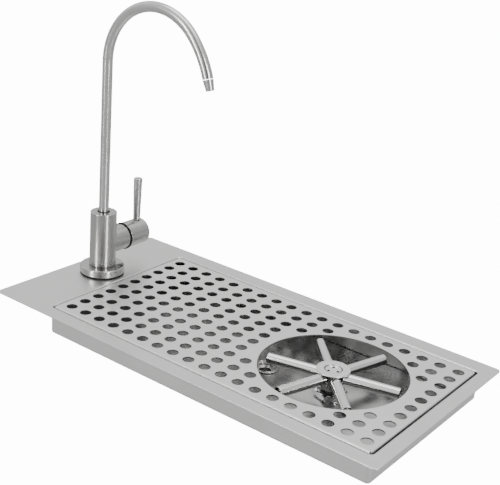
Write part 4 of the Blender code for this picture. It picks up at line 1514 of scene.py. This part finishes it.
@dataclass
class RinserHead:
    """Moving half of the rinser: stem, hub, cap, jet insert and six spray arms."""

    stem_radius: float = 6.0
    wire: float = 0.6
    coils: int = 6
    coil_steps: int = 32
    piston: float = 2.2
    tail_radius: float = 4.2
    feed: float = 3.0
    blind: float = 2.6
    gap: float = 0.3
    cap_land: float = 1.2
    recess: float = 7.6
    recess_floor: float = -0.1
    channel: float = 6.0
    channel_floor: float = -1.3
    boss: float = 8.3
    boss_foot: float = -1.5
    spigot: float = 5.5
    spigot_foot: float = -4.5
    spigot_bore: float = 4.0
    dish: float = 0.8
    jet_circle: float = 4.4
    jet: float = 2.6
    jet_count: int = 3
    jet_phase: float = 120.0
    arm_count: int = 6
    arm_radius: float = 4.6
    arm_start: float = 9.9
    arm_wall: float = 0.75
    arm_recess: float = 2.4
    plug: float = 2.7
    arm_phase: float = 14.35

    def make_stem(self) -> None:
        """Build the stem and its piston flange."""
        box = Extent.of("rinser_stem")
        wide = 0.5 * box.size.x
        seal = Extent.of("piston_seal")
        flange = seal.low.z - self.gap
        profile = [(0.0, box.low.z), (self.tail_radius, box.low.z), (self.tail_radius, flange - self.piston),
                   (wide, flange - self.piston), (wide, flange), (self.stem_radius, flange),
                   (self.stem_radius, box.high.z), (self.feed, box.high.z), (self.feed, flange + self.blind),
                   (0.0, flange + self.blind)]
        finish_piece("rinser_push_stem", turned(eased(profile, 0.3), box.foot), HUB_PAINTED_SHADE_STEEL, ("rinser_stem",))
        dress_node("piston_seal", RUBBER)

    def make_spring(self) -> None:
        """Build the return spring, standing on the housing and hung on no body."""
        box = Extent.of("rinser_spring")
        up = Axis.UP.vector
        mean = 0.5 * box.size.x - self.wire
        rise = box.size.z - 2.0 * self.wire
        start = box.foot + up * (box.low.z + self.wire)
        steps = self.coils * self.coil_steps
        path = []
        for step in range(steps + 1):
            angle = math.tau * self.coils * step / steps
            outward = Vector((math.cos(angle), math.sin(angle), 0.0))
            path.append((start + outward * mean + up * (rise * step / steps), outward, up))
        coil = finish_piece("rinser_coil_spring", swept(path, (self.wire,), 16), WIRE, ("rinser_spring",),
                            rides=False)
        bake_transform(coil)

    def make_hub(self) -> None:
        """Build the hub that carries the arms."""
        box = Extent.of("rinser_hub")
        half = 0.5 * box.size.x
        ledge, shelf = self.boss_foot - self.gap, self.spigot_foot - self.gap
        step = Extent.of("rinser_stem").high.z + self.gap
        seat, socket, bore = self.boss + self.gap, self.spigot + self.gap, self.stem_radius + self.gap
        profile = [(half, box.low.z), (half, box.high.z), (seat, box.high.z), (seat, ledge),
                   (socket, ledge), (socket, shelf), (self.spigot_bore, shelf), (self.spigot_bore, step),
                   (bore, step), (bore, box.low.z)]
        finish_piece("rinser_arm_hub", turned(eased(profile, 0.35), box.foot), HUB_PAINTED_SHADE_STEEL, ("rinser_hub",))

    def make_cap(self) -> None:
        """Build the cap disc and its jet insert."""
        box = Extent.of("rinser_cap")
        rim = 0.5 * box.size.x
        top = box.high.z
        lip = top - self.cap_land
        profile = [(self.spigot_bore, self.spigot_foot), (self.spigot, self.spigot_foot),
                   (self.spigot, self.boss_foot), (self.boss, self.boss_foot), (self.boss, lip),
                   (rim, lip), (rim, top), (self.recess, top), (self.recess, self.recess_floor),
                   (self.channel, self.recess_floor), (self.channel, self.channel_floor),
                   (self.spigot_bore, self.channel_floor)]
        disc = finish_piece("rinser_cap_disc", turned(eased(profile, 0.35, 4), box.foot, sides=FINE),
                            CAP_STEEL, ("rinser_cap",))
        # painted shade: the recess and channel under the jet insert take the black rubber finish to read as a
        # dark gap
        reface(disc, RUBBER, lambda centre, normal: self.off_axis(centre) < self.recess + 0.05
               and centre.z < top - 0.3)
        insert = Extent.of("jet_insert")
        edge = 0.5 * insert.size.x
        high = insert.high.z
        bowl = [(0.0, insert.low.z), (edge, insert.low.z), (edge, insert.low.z + 0.3),
                (edge - 0.5, insert.low.z + 0.3), (edge - 0.5, high), (edge - 0.9, high),
                (edge - 1.5, high - self.dish), (0.0, high - self.dish)]
        drills = []
        for c, s in unit_circle(self.jet_count, self.jet_phase):
            spot = insert.foot + Vector((c, s, 0.0)) * self.jet_circle
            drill = rod_profile(0.5 * self.jet, insert.low.z - 1.0, high + 1.0)
            drills.append(turned(drill, spot, sides=COARSE))
        mesh = cut_mesh("jet_plate", turned(eased(bowl, 0.15), insert.foot), removed=drills)
        plate = finish_piece("jet_plate", mesh, CHROME_SATIN, ("jet_insert",))
        # painted shade: the jets' walls take the black rubber finish so that they read as dark holes
        reface(plate, RUBBER, lambda centre, normal: abs(normal.z) < 0.3 and centre.z < high - 0.2)

    def off_axis(self, place: Vector) -> float:
        """Distance in millimetres from a point to the rinser's axis."""
        return math.hypot(place.x - RINSER_AXIS[0], place.y - RINSER_AXIS[1])

    def make_arms(self) -> None:
        """Build one open-ended arm with its inner plug and repeat it round the hub."""
        boxes = [Extent.of(f"rinser_arm_{number}") for number in range(1, self.arm_count + 1)]
        centre = Extent.of("rinser_cap").foot
        centre.z = boxes[0].middle.z
        tip = max(self.tip_reach(box, centre) for box in boxes)
        bore = self.arm_radius - self.arm_wall
        profile = [(0.0, self.arm_start), (self.arm_radius, self.arm_start), (self.arm_radius, tip),
                   (bore, tip), (bore, tip - self.arm_recess), (self.plug, tip - self.arm_recess),
                   (self.plug, tip - 0.9), (self.plug - 0.8, tip - 0.5), (0.0, tip - 0.35)]
        arm = to_mesh("arm", turned(eased(profile, 0.25), Vector(), Vector((1.0, 0.0, 0.0)), 48))
        mesh = grown_mesh("rinser_arms", Jigs.get("circular_array"), arm, {
            "Count": self.arm_count, "Phase": math.radians(self.arm_phase), "Centre": centre * MM,
            "Finish": ARM_STEEL.material()})
        nodes = [f"rinser_arm_{number}" for number in range(1, self.arm_count + 1)]
        arms = finish_piece("rinser_arms", mesh, ARM_STEEL, nodes)
        # painted shade: downward faces and the bores' inner faces are darkened in place of the basin's dark
        # reflection
        reface(arms, ARM_PAINTED_SHADE, lambda place, normal: normal.z < -0.05
               or self.off_axis(place) < tip - 0.6 and (place - centre).dot(normal) < 0.0)

    def tip_reach(self, box: Extent, centre: Vector) -> float:
        """Length of an arm from the axis, from the corner that its box reaches.

        Args:
            box: the arm's box.
            centre: point on the rinser's axis.

        Returns:
            Distance from the axis to the arm's end face.
        """
        reach = box.high.x - centre.x
        turn = math.radians(self.arm_phase)
        return (reach - self.arm_radius * math.sin(turn)) / math.cos(turn)

    def make(self) -> None:
        """Build the whole moving half."""
        self.make_stem()
        self.make_spring()
        self.make_hub()
        self.make_cap()
        self.make_arms()


# ---------------------------------------------------------------- tap

@dataclass
class TapBody:
    """Base, upright body with its valve stub, and the fixings under the flange."""

    clearance: float = 6.2
    stub_radius: float = 12.25
    stub_inside: float = 1.0
    core: float = 6.05
    core_foot: float = 41.0
    waterway: float = 3.5
    waterway_foot: float = 20.0
    inlet: float = 6.0
    valve_bore: float = 9.3
    valve_bore_start: float = 3.0
    foot_groove: float = 0.5
    shank_bore: float = 3.5
    shank_pitch: float = 1.0
    nut_flats: float = 19.0
    throat: float = 3.3
    throat_length: float = 2.0
    collet_bore: float = 3.4
    valve_ring_bore: float = 6.0
    bush_bore: float = 5.1
    gap: float = 0.3

    def make_base(self) -> None:
        """Build the base ring and its gasket."""
        box = Extent.of("tap_base_ring")
        rim = 0.5 * box.size.x
        low, high = box.low.z, box.high.z
        profile = [(self.clearance, low), (rim - 0.3, low), (rim, low + 0.4), (rim, high - 1.1),
                   (rim - 0.9, high), (self.clearance, high)]
        finish_piece("tap_base_disc", turned(eased(profile, 0.45, 4), box.foot, sides=FINE), TAP_STEEL,
                     ("tap_base_ring",))
        Ring("tap_gasket", RUBBER, self.clearance, 0.3).make()

    def make_body(self) -> None:
        """Build the body and stub as one casting, bored for the spout, the water and the valve."""
        box = Extent.of("tap_body")
        radius = 0.5 * box.size.x
        low, high = box.low.z, box.high.z
        place = Extent.of("tap_base_ring").foot
        valve = Vector((place.x, place.y, Extent.of("valve_ring").middle.z))
        column = [(0.0, low), (radius - self.foot_groove, low), (radius - self.foot_groove, low + 0.5),
                  (radius, low + 0.9), (radius, high - 0.35), (radius - 0.35, high), (0.0, high)]
        stub = [(0.0, self.stub_inside), (self.stub_radius, self.stub_inside),
                (self.stub_radius, box.high.y - 0.25), (self.stub_radius - 0.25, box.high.y),
                (0.0, box.high.y)]
        bore = [(0.0, low - THROUGH), (self.inlet, low - THROUGH), (self.inlet, self.waterway_foot),
                (self.waterway, self.waterway_foot), (self.waterway, self.core_foot),
                (self.core, self.core_foot), (self.core, high + THROUGH), (0.0, high + THROUGH)]
        chamber = rod_profile(self.valve_bore, self.valve_bore_start, box.high.y + THROUGH)
        mesh = cut_mesh(
            "tap_column",
            turned(eased(column, 0.15, 2), place, sides=FINE),
            [turned(stub, valve, Axis.SIDE.vector, FINE, 1.4)],
            [turned(bore, place, phase=2.6), turned(chamber, valve, Axis.SIDE.vector, MEDIUM, 2.1)])
        piece = finish_piece("tap_column", mesh, TAP_STEEL, ("tap_body",))
        reface(piece, VALVE_STEEL, lambda centre, normal: (centre - place).xy.length > radius + 0.05)

    def make_fixings(self) -> None:
        """Build the threaded shank and what clamps and feeds it under the flange."""
        shank = Extent.of("tap_shank")
        place = shank.foot
        nut = Extent.of("shank_lock_nut")
        thread = Thread(0.5 * shank.size.x, self.shank_pitch, shank.low.z + 1.0, -0.5)
        profile = [(self.shank_bore, shank.low.z), (thread.core, shank.low.z), (thread.core, 0.0),
                   (thread.crest, 0.2), (thread.crest, shank.high.z), (self.shank_bore, shank.high.z)]
        body = to_mesh("tap_tail", turned(eased(profile, 0.15), place))
        mesh = joined_mesh("tap_tail", (body, thread.mesh(place, BRASS)))
        finish_piece("tap_tail", mesh, BRASS, ("tap_shank",))
        Ring("shank_rubber_washer", RUBBER, self.inlet, 0.5).make()
        Ring("shank_metal_washer", CHROME, self.inlet, 0.2).make()
        shape = hexagon_nut(self.nut_flats, self.inlet, nut.low.z, nut.high.z, nut.foot, 30.0)
        finish_piece("tap_lock_nut", shape, BRASS, ("shank_lock_nut",))
        self.make_adapter()

    def make_adapter(self, ribs: int = 16, rib_depth: float = 0.5) -> None:
        """Build the hose adapter with its grip ribs, and its collet.

        Args:
            ribs: how many grip ribs.
            rib_depth: how far they stand out.
        """
        box = Extent.of("tap_inlet_adapter")
        collet = Extent.of("inlet_collet")
        wide = 0.5 * box.size.x
        core = wide - rib_depth
        mouth = 0.5 * collet.size.x + self.gap
        step = collet.high.z + self.gap
        throat_end = step + self.throat_length
        profile = [(self.inlet, box.high.z), (self.inlet, throat_end), (self.throat, throat_end),
                   (self.throat, step), (mouth, step), (mouth, box.low.z), (core, box.low.z),
                   (core, box.high.z)]
        body = to_mesh("tap_adapter", turned(eased(profile, 0.3), box.foot))
        rib = turned(rod_profile(rib_depth, box.low.z + 2.0, box.high.z - 2.0), Vector((core, 0.0, 0.0)),
                     sides=12)
        grips = grown_mesh("grips", Jigs.get("circular_array"), to_mesh("rib", rib), {
            "Count": ribs, "Phase": 0.0, "Centre": box.foot * MM, "Finish": PLASTIC.material()})
        finish_piece("tap_adapter", joined_mesh("tap_adapter", (body, grips)), PLASTIC,
                     ("tap_inlet_adapter",))
        Ring("inlet_collet", PLASTIC, self.collet_bore).make()

    def make(self) -> None:
        """Build the fixed half of the tap."""
        self.make_base()
        self.make_body()
        self.make_fixings()
        Ring("valve_ring", RUBBER, self.valve_ring_bore, 0.35, Axis.SIDE).make()
        Ring("spout_bush", PLASTIC, self.bush_bore, 0.3).make()
        for node, finish in (("valve_cartridge", BRASS), ("fixed_ceramic_disc", CERAMIC)):
            dress_node(node, finish)


@dataclass
class TapHandle:
    """Quarter-turn handle: hub, lever, grub screw and the valve parts that turn with them."""

    spindle_bore: float = 3.2
    spindle_end: float = 36.0
    socket: float = 2.3
    lever_socket: float = 4.0
    screw_socket: float = 1.0
    lever_foot: float = 3.45
    pin: float = 2.0
    rounding: float = 0.8
    tip_round: float = 0.6
    gap: float = 0.3

    def make_hub(self) -> None:
        """Build the hub with sockets for the lever and the grub screw."""
        box = Extent.of("handle_hub")
        place = Vector((box.middle.x, 0.0, box.middle.z))
        radius = 0.5 * box.size.z
        start, end = box.low.y, box.high.y
        profile = [(0.0, self.spindle_end), (self.spindle_bore, self.spindle_end),
                   (self.spindle_bore, start), (radius - 0.25, start), (radius, start + 0.25),
                   (radius, end - self.rounding), (radius - 0.3 * self.rounding, end - 0.3 * self.rounding),
                   (radius - self.rounding, end), (0.0, end)]
        lever = Extent.of("handle_lever")
        screw = Extent.of("handle_grub_screw")
        upper = turned(rod_profile(self.socket, box.middle.z + self.lever_socket, box.high.z + 8.0),
                       lever.foot, sides=COARSE, phase=2.0)
        lower = turned(rod_profile(self.socket, box.low.z - 8.0, box.middle.z - self.screw_socket),
                       screw.foot, sides=COARSE, phase=2.0)
        body = turned(eased(profile, 0.25, 3), place, Axis.SIDE.vector, FINE, 0.7)
        mesh = cut_mesh("handle_barrel", body, removed=(upper, lower))
        finish_piece("handle_barrel", mesh, VALVE_STEEL, ("handle_hub",))

    def make_lever(self) -> None:
        """Build the tapered lever with its pin and its turned top."""
        box = Extent.of("handle_lever")
        hub = Extent.of("handle_hub")
        tip = 0.5 * box.size.x
        foot = hub.high.z + self.gap
        top = box.high.z
        profile = [(0.0, box.low.z), (self.pin, box.low.z), (self.pin, foot), (self.lever_foot, foot),
                   (tip, top - self.tip_round), (tip - self.tip_round, top), (0.0, top)]
        finish_piece("handle_lever_rod", turned(eased(profile, 0.3, 4), box.foot, sides=48),
                     LEVER_STEEL, ("handle_lever",))

    def make_screw(self) -> None:
        """Build the grub screw with its hexagon socket."""
        box = Extent.of("handle_grub_screw")
        radius = 0.5 * box.size.x
        body = turned(eased(rod_profile(radius, box.low.z, box.high.z), 0.2), box.foot, sides=COARSE)
        key = turned(rod_profile(0.5 * radius, box.low.z - 2.0, box.low.z + 2.0), box.foot, sides=6)
        mesh = cut_mesh("handle_set_screw", body, removed=(key,))
        finish_piece("handle_set_screw", mesh, CHROME, ("handle_grub_screw",))

    def make(self) -> None:
        """Build everything that turns with the lever."""
        self.make_hub()
        self.make_lever()
        self.make_screw()
        dress_node("valve_spindle", BRASS)
        dress_node("moving_ceramic_disc", CERAMIC)


@dataclass
class Spout:
    """Swivelling gooseneck bent from one tube, with its necked tip."""

    tube_radius: float = 4.75
    bore: float = 3.75
    riser_top: float = 203.98
    bends: tuple[tuple[float, float], ...] = ((55.8, 137.4), (86.8, 24.1))
    bend_step: float = 2.5
    tip_bore: float = 2.9
    tip_radius: float = 3.6
    sides: int = 40

    def path(self) -> list[tuple[Vector, Vector, Vector]]:
        """Stations along the tube: its centre and the two directions across it."""
        box = Extent.of("spout_tube")
        start = Extent.of("spout_bush").foot
        side = Axis.SIDE.vector
        flat = Vector((1.0, 0.0, 0.0))
        stations = [(start + Vector((0.0, 0.0, box.low.z)), flat, side),
                    (start + Vector((0.0, 0.0, self.riser_top - 1.0)), flat, side),
                    (start + Vector((0.0, 0.0, self.riser_top)), flat, side)]
        centre = stations[-1][0].copy()
        heading = 0.0
        for radius, sweep in self.bends:
            steps = round(sweep / self.bend_step)
            turn = math.radians(sweep) / steps
            for _ in range(steps):
                centre.x += radius * (math.cos(heading) - math.cos(heading + turn))
                centre.z += radius * (math.sin(heading + turn) - math.sin(heading))
                heading += turn
                across = Vector((math.cos(heading), 0.0, -math.sin(heading)))
                stations.append((centre.copy(), across, side))
        return stations

    def make(self) -> None:
        """Build the tube and its tip."""
        path = self.path()
        tube = swept(path, (self.tube_radius, self.bore), self.sides)
        finish_piece("spout_gooseneck", tube, TUBE_STEEL, ("spout_tube",))
        end, across, _ = path[-1]
        outlet = Vector((-across.z, 0.0, across.x))
        length = self.tip_length(end, outlet)
        profile = [(self.tip_bore, 0.3), (self.tube_radius, 0.3), (self.tip_radius, length - 0.4),
                   (self.tip_radius - 0.35, length), (self.tip_bore, length)]
        finish_piece("spout_nozzle", turned(eased(profile, 0.25), end, outlet, 40), TUBE_STEEL,
                     ("spout_tip",))
        for node in ("spout_o_ring_upper", "spout_o_ring_lower"):
            dress_node(node, RUBBER)
        dress_node("spout_clip", BRASS)

    def tip_length(self, end: Vector, outlet: Vector) -> float:
        """Length of the tip beyond the tube's end.

        Args:
            end: centre of the tube's end.
            outlet: direction of the tip.

        Returns:
            Distance to the lowest face that its box reaches.
        """
        low = Extent.of("spout_tip").low.z
        sideways = math.sqrt(1.0 - outlet.z ** 2)
        return (end.z - low - (self.tip_radius - 0.3) * sideways) / -outlet.z


# ---------------------------------------------------------------- studio

@dataclass
class Studio:
    """Pale floor, soft lights and the camera.

    A patch of the room is its middle's azimuth, its reach on either side, both in degrees, and how
    much lighter it is. A soft box is its name, azimuth, elevation, distance, size and power.
    """

    paper: float = 14.0
    bounce: float = 0.75
    patches: tuple[tuple[float, float, float], ...] = (
        (-52.0, 30.0, -0.85), (40.0, 40.0, -0.35), (-145.0, 22.0, -0.15), (-178.0, 40.0, 0.55))
    boxes: tuple[tuple[str, float, float, float, tuple[float, float], float], ...] = (
        ("left_strip", -105.0, 12.0, 1.8, (0.20, 1.7), 26.0),
        ("right_strip", -14.0, 12.0, 1.8, (0.20, 1.7), 30.0),
        ("overhead", 90.0, 80.0, 1.6, (1.6, 1.2), 14.0))
    floor_gap: float = 0.3
    floor_half: float = 30000.0
    camera_at: tuple[float, float, float] = (653.85, -637.05, 392.5)
    camera_turn: tuple[float, float, float] = (68.479, -4.4644, 37.7253)
    lens: float = 72.843

    def lay_floor(self) -> None:
        """Lay a plain pale floor just under the lowest fitting."""
        height = (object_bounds()[0].z / MM - self.floor_gap) * MM
        half = self.floor_half * MM
        mesh = bpy.data.meshes.new("floor")
        corners = [(-half, -half, height), (half, -half, height), (half, half, height), (-half, half, height)]
        mesh.from_pydata(corners, [], [(0, 1, 2, 3)])
        floor = host_object("floor", mesh)
        finish = bpy.data.materials.new("floor_paper")
        finish.use_nodes = True
        bench = NodeBench(finish.node_tree)
        output = finish.node_tree.nodes["Material Output"]
        seen = bench.add("ShaderNodeLightPath").outputs["Is Camera Ray"]
        lit = bench.add("ShaderNodeEmission", {"Color": (1.0, 1.0, 1.0, 1.0), "Strength": self.paper})
        grey = bench.add("ShaderNodeEmission", {"Color": (1.0, 1.0, 1.0, 1.0), "Strength": self.bounce})
        mixed = bench.add("ShaderNodeMixShader", {0: seen, 1: grey.outputs[0], 2: lit.outputs[0]})
        finish.node_tree.links.new(mixed.outputs[0], output.inputs["Surface"])
        mesh.materials.append(finish)
        floor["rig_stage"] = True

    def set_world(self) -> None:
        """Surround the set with a soft grey room, white where it is seen directly."""
        world = bpy.data.worlds.new("room")
        bpy.context.scene.world = world
        world.use_nodes = True
        bench = NodeBench(world.node_tree)
        output = world.node_tree.nodes["World Output"]
        direction = bench.add("ShaderNodeTexCoord").outputs["Generated"]
        parts = bench.add("ShaderNodeSeparateXYZ", {0: direction})
        climb = bench.ramp(parts.outputs["Z"], 0.0, 0.6, 0.85, 1.25)
        azimuth = bench.math("ARCTAN2", parts.outputs["Y"], parts.outputs["X"])
        tone = climb
        for centre, width, change in self.patches:
            away = bench.math("ABSOLUTE", bench.math("SUBTRACT", azimuth, math.radians(centre)))
            patch = bench.ramp(away, 0.0, math.radians(width), 1.0 + change, 1.0)
            tone = bench.math("MULTIPLY", tone, patch)
        room = bench.add("ShaderNodeBackground", {"Strength": tone})
        white = bench.add("ShaderNodeBackground", {"Strength": self.paper})
        for shade in (room, white):
            shade.inputs["Color"].default_value = (1.0, 1.0, 1.0, 1.0)
        seen = bench.add("ShaderNodeLightPath").outputs["Is Camera Ray"]
        mixed = bench.add("ShaderNodeMixShader", {0: seen, 1: room.outputs[0], 2: white.outputs[0]})
        world.node_tree.links.new(mixed.outputs[0], output.inputs["Surface"])

    def hang_light(self, name: str, azimuth: float, elevation: float, distance: float,
                   size: tuple[float, float], power: float) -> None:
        """Hang a soft box that faces the middle of the tray.

        Args:
            name: the light's name.
            azimuth: degrees from +X, anticlockwise.
            elevation: degrees above the tray.
            distance: metres from the tray's middle.
            size: width and height in metres.
            power: watts.
        """
        light = bpy.data.lights.new(name, "AREA")
        light.shape = "RECTANGLE"
        light.size, light.size_y = size
        light.energy = power
        item = bpy.data.objects.new(name, light)
        bpy.context.scene.collection.objects.link(item)
        low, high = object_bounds()
        middle = (low + high) / 2
        turn, rise = math.radians(azimuth), math.radians(elevation)
        away = Vector((math.cos(turn) * math.cos(rise), math.sin(turn) * math.cos(rise), math.sin(rise)))
        item.location = middle + away * distance
        item.rotation_euler = away.to_track_quat("Z", "Y").to_euler()
        item.visible_camera = False

    def set_camera(self) -> None:
        """Stand the camera at the front right, looking down the tray."""
        data = bpy.data.cameras.new("camera")
        data.lens = self.lens
        data.clip_start, data.clip_end = 0.01, 100.0
        camera = bpy.data.objects.new("camera", data)
        camera.location = Vector(self.camera_at) * MM
        camera.rotation_euler = Euler([math.radians(angle) for angle in self.camera_turn])
        bpy.context.scene.collection.objects.link(camera)
        bpy.context.scene.camera = camera

    def make(self) -> None:
        """Set the whole studio."""
        self.lay_floor()
        self.set_world()
        for box in self.boxes:
            self.hang_light(*box)
        self.set_camera()


def main() -> None:
    """Build every sub-assembly and set the studio, logging each one by name."""
    logging.basicConfig(level=logging.INFO, format="%(message)s")
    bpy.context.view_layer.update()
    for assembly in (BasinTray(), Grate(), Drain(), RinserBase(), RinserHead(), TapBody(), TapHandle(),
                     Spout(), Studio()):
        LOG.info("-- %s", type(assembly).__name__)
        assembly.make()


if __name__ == "__main__":
    main()
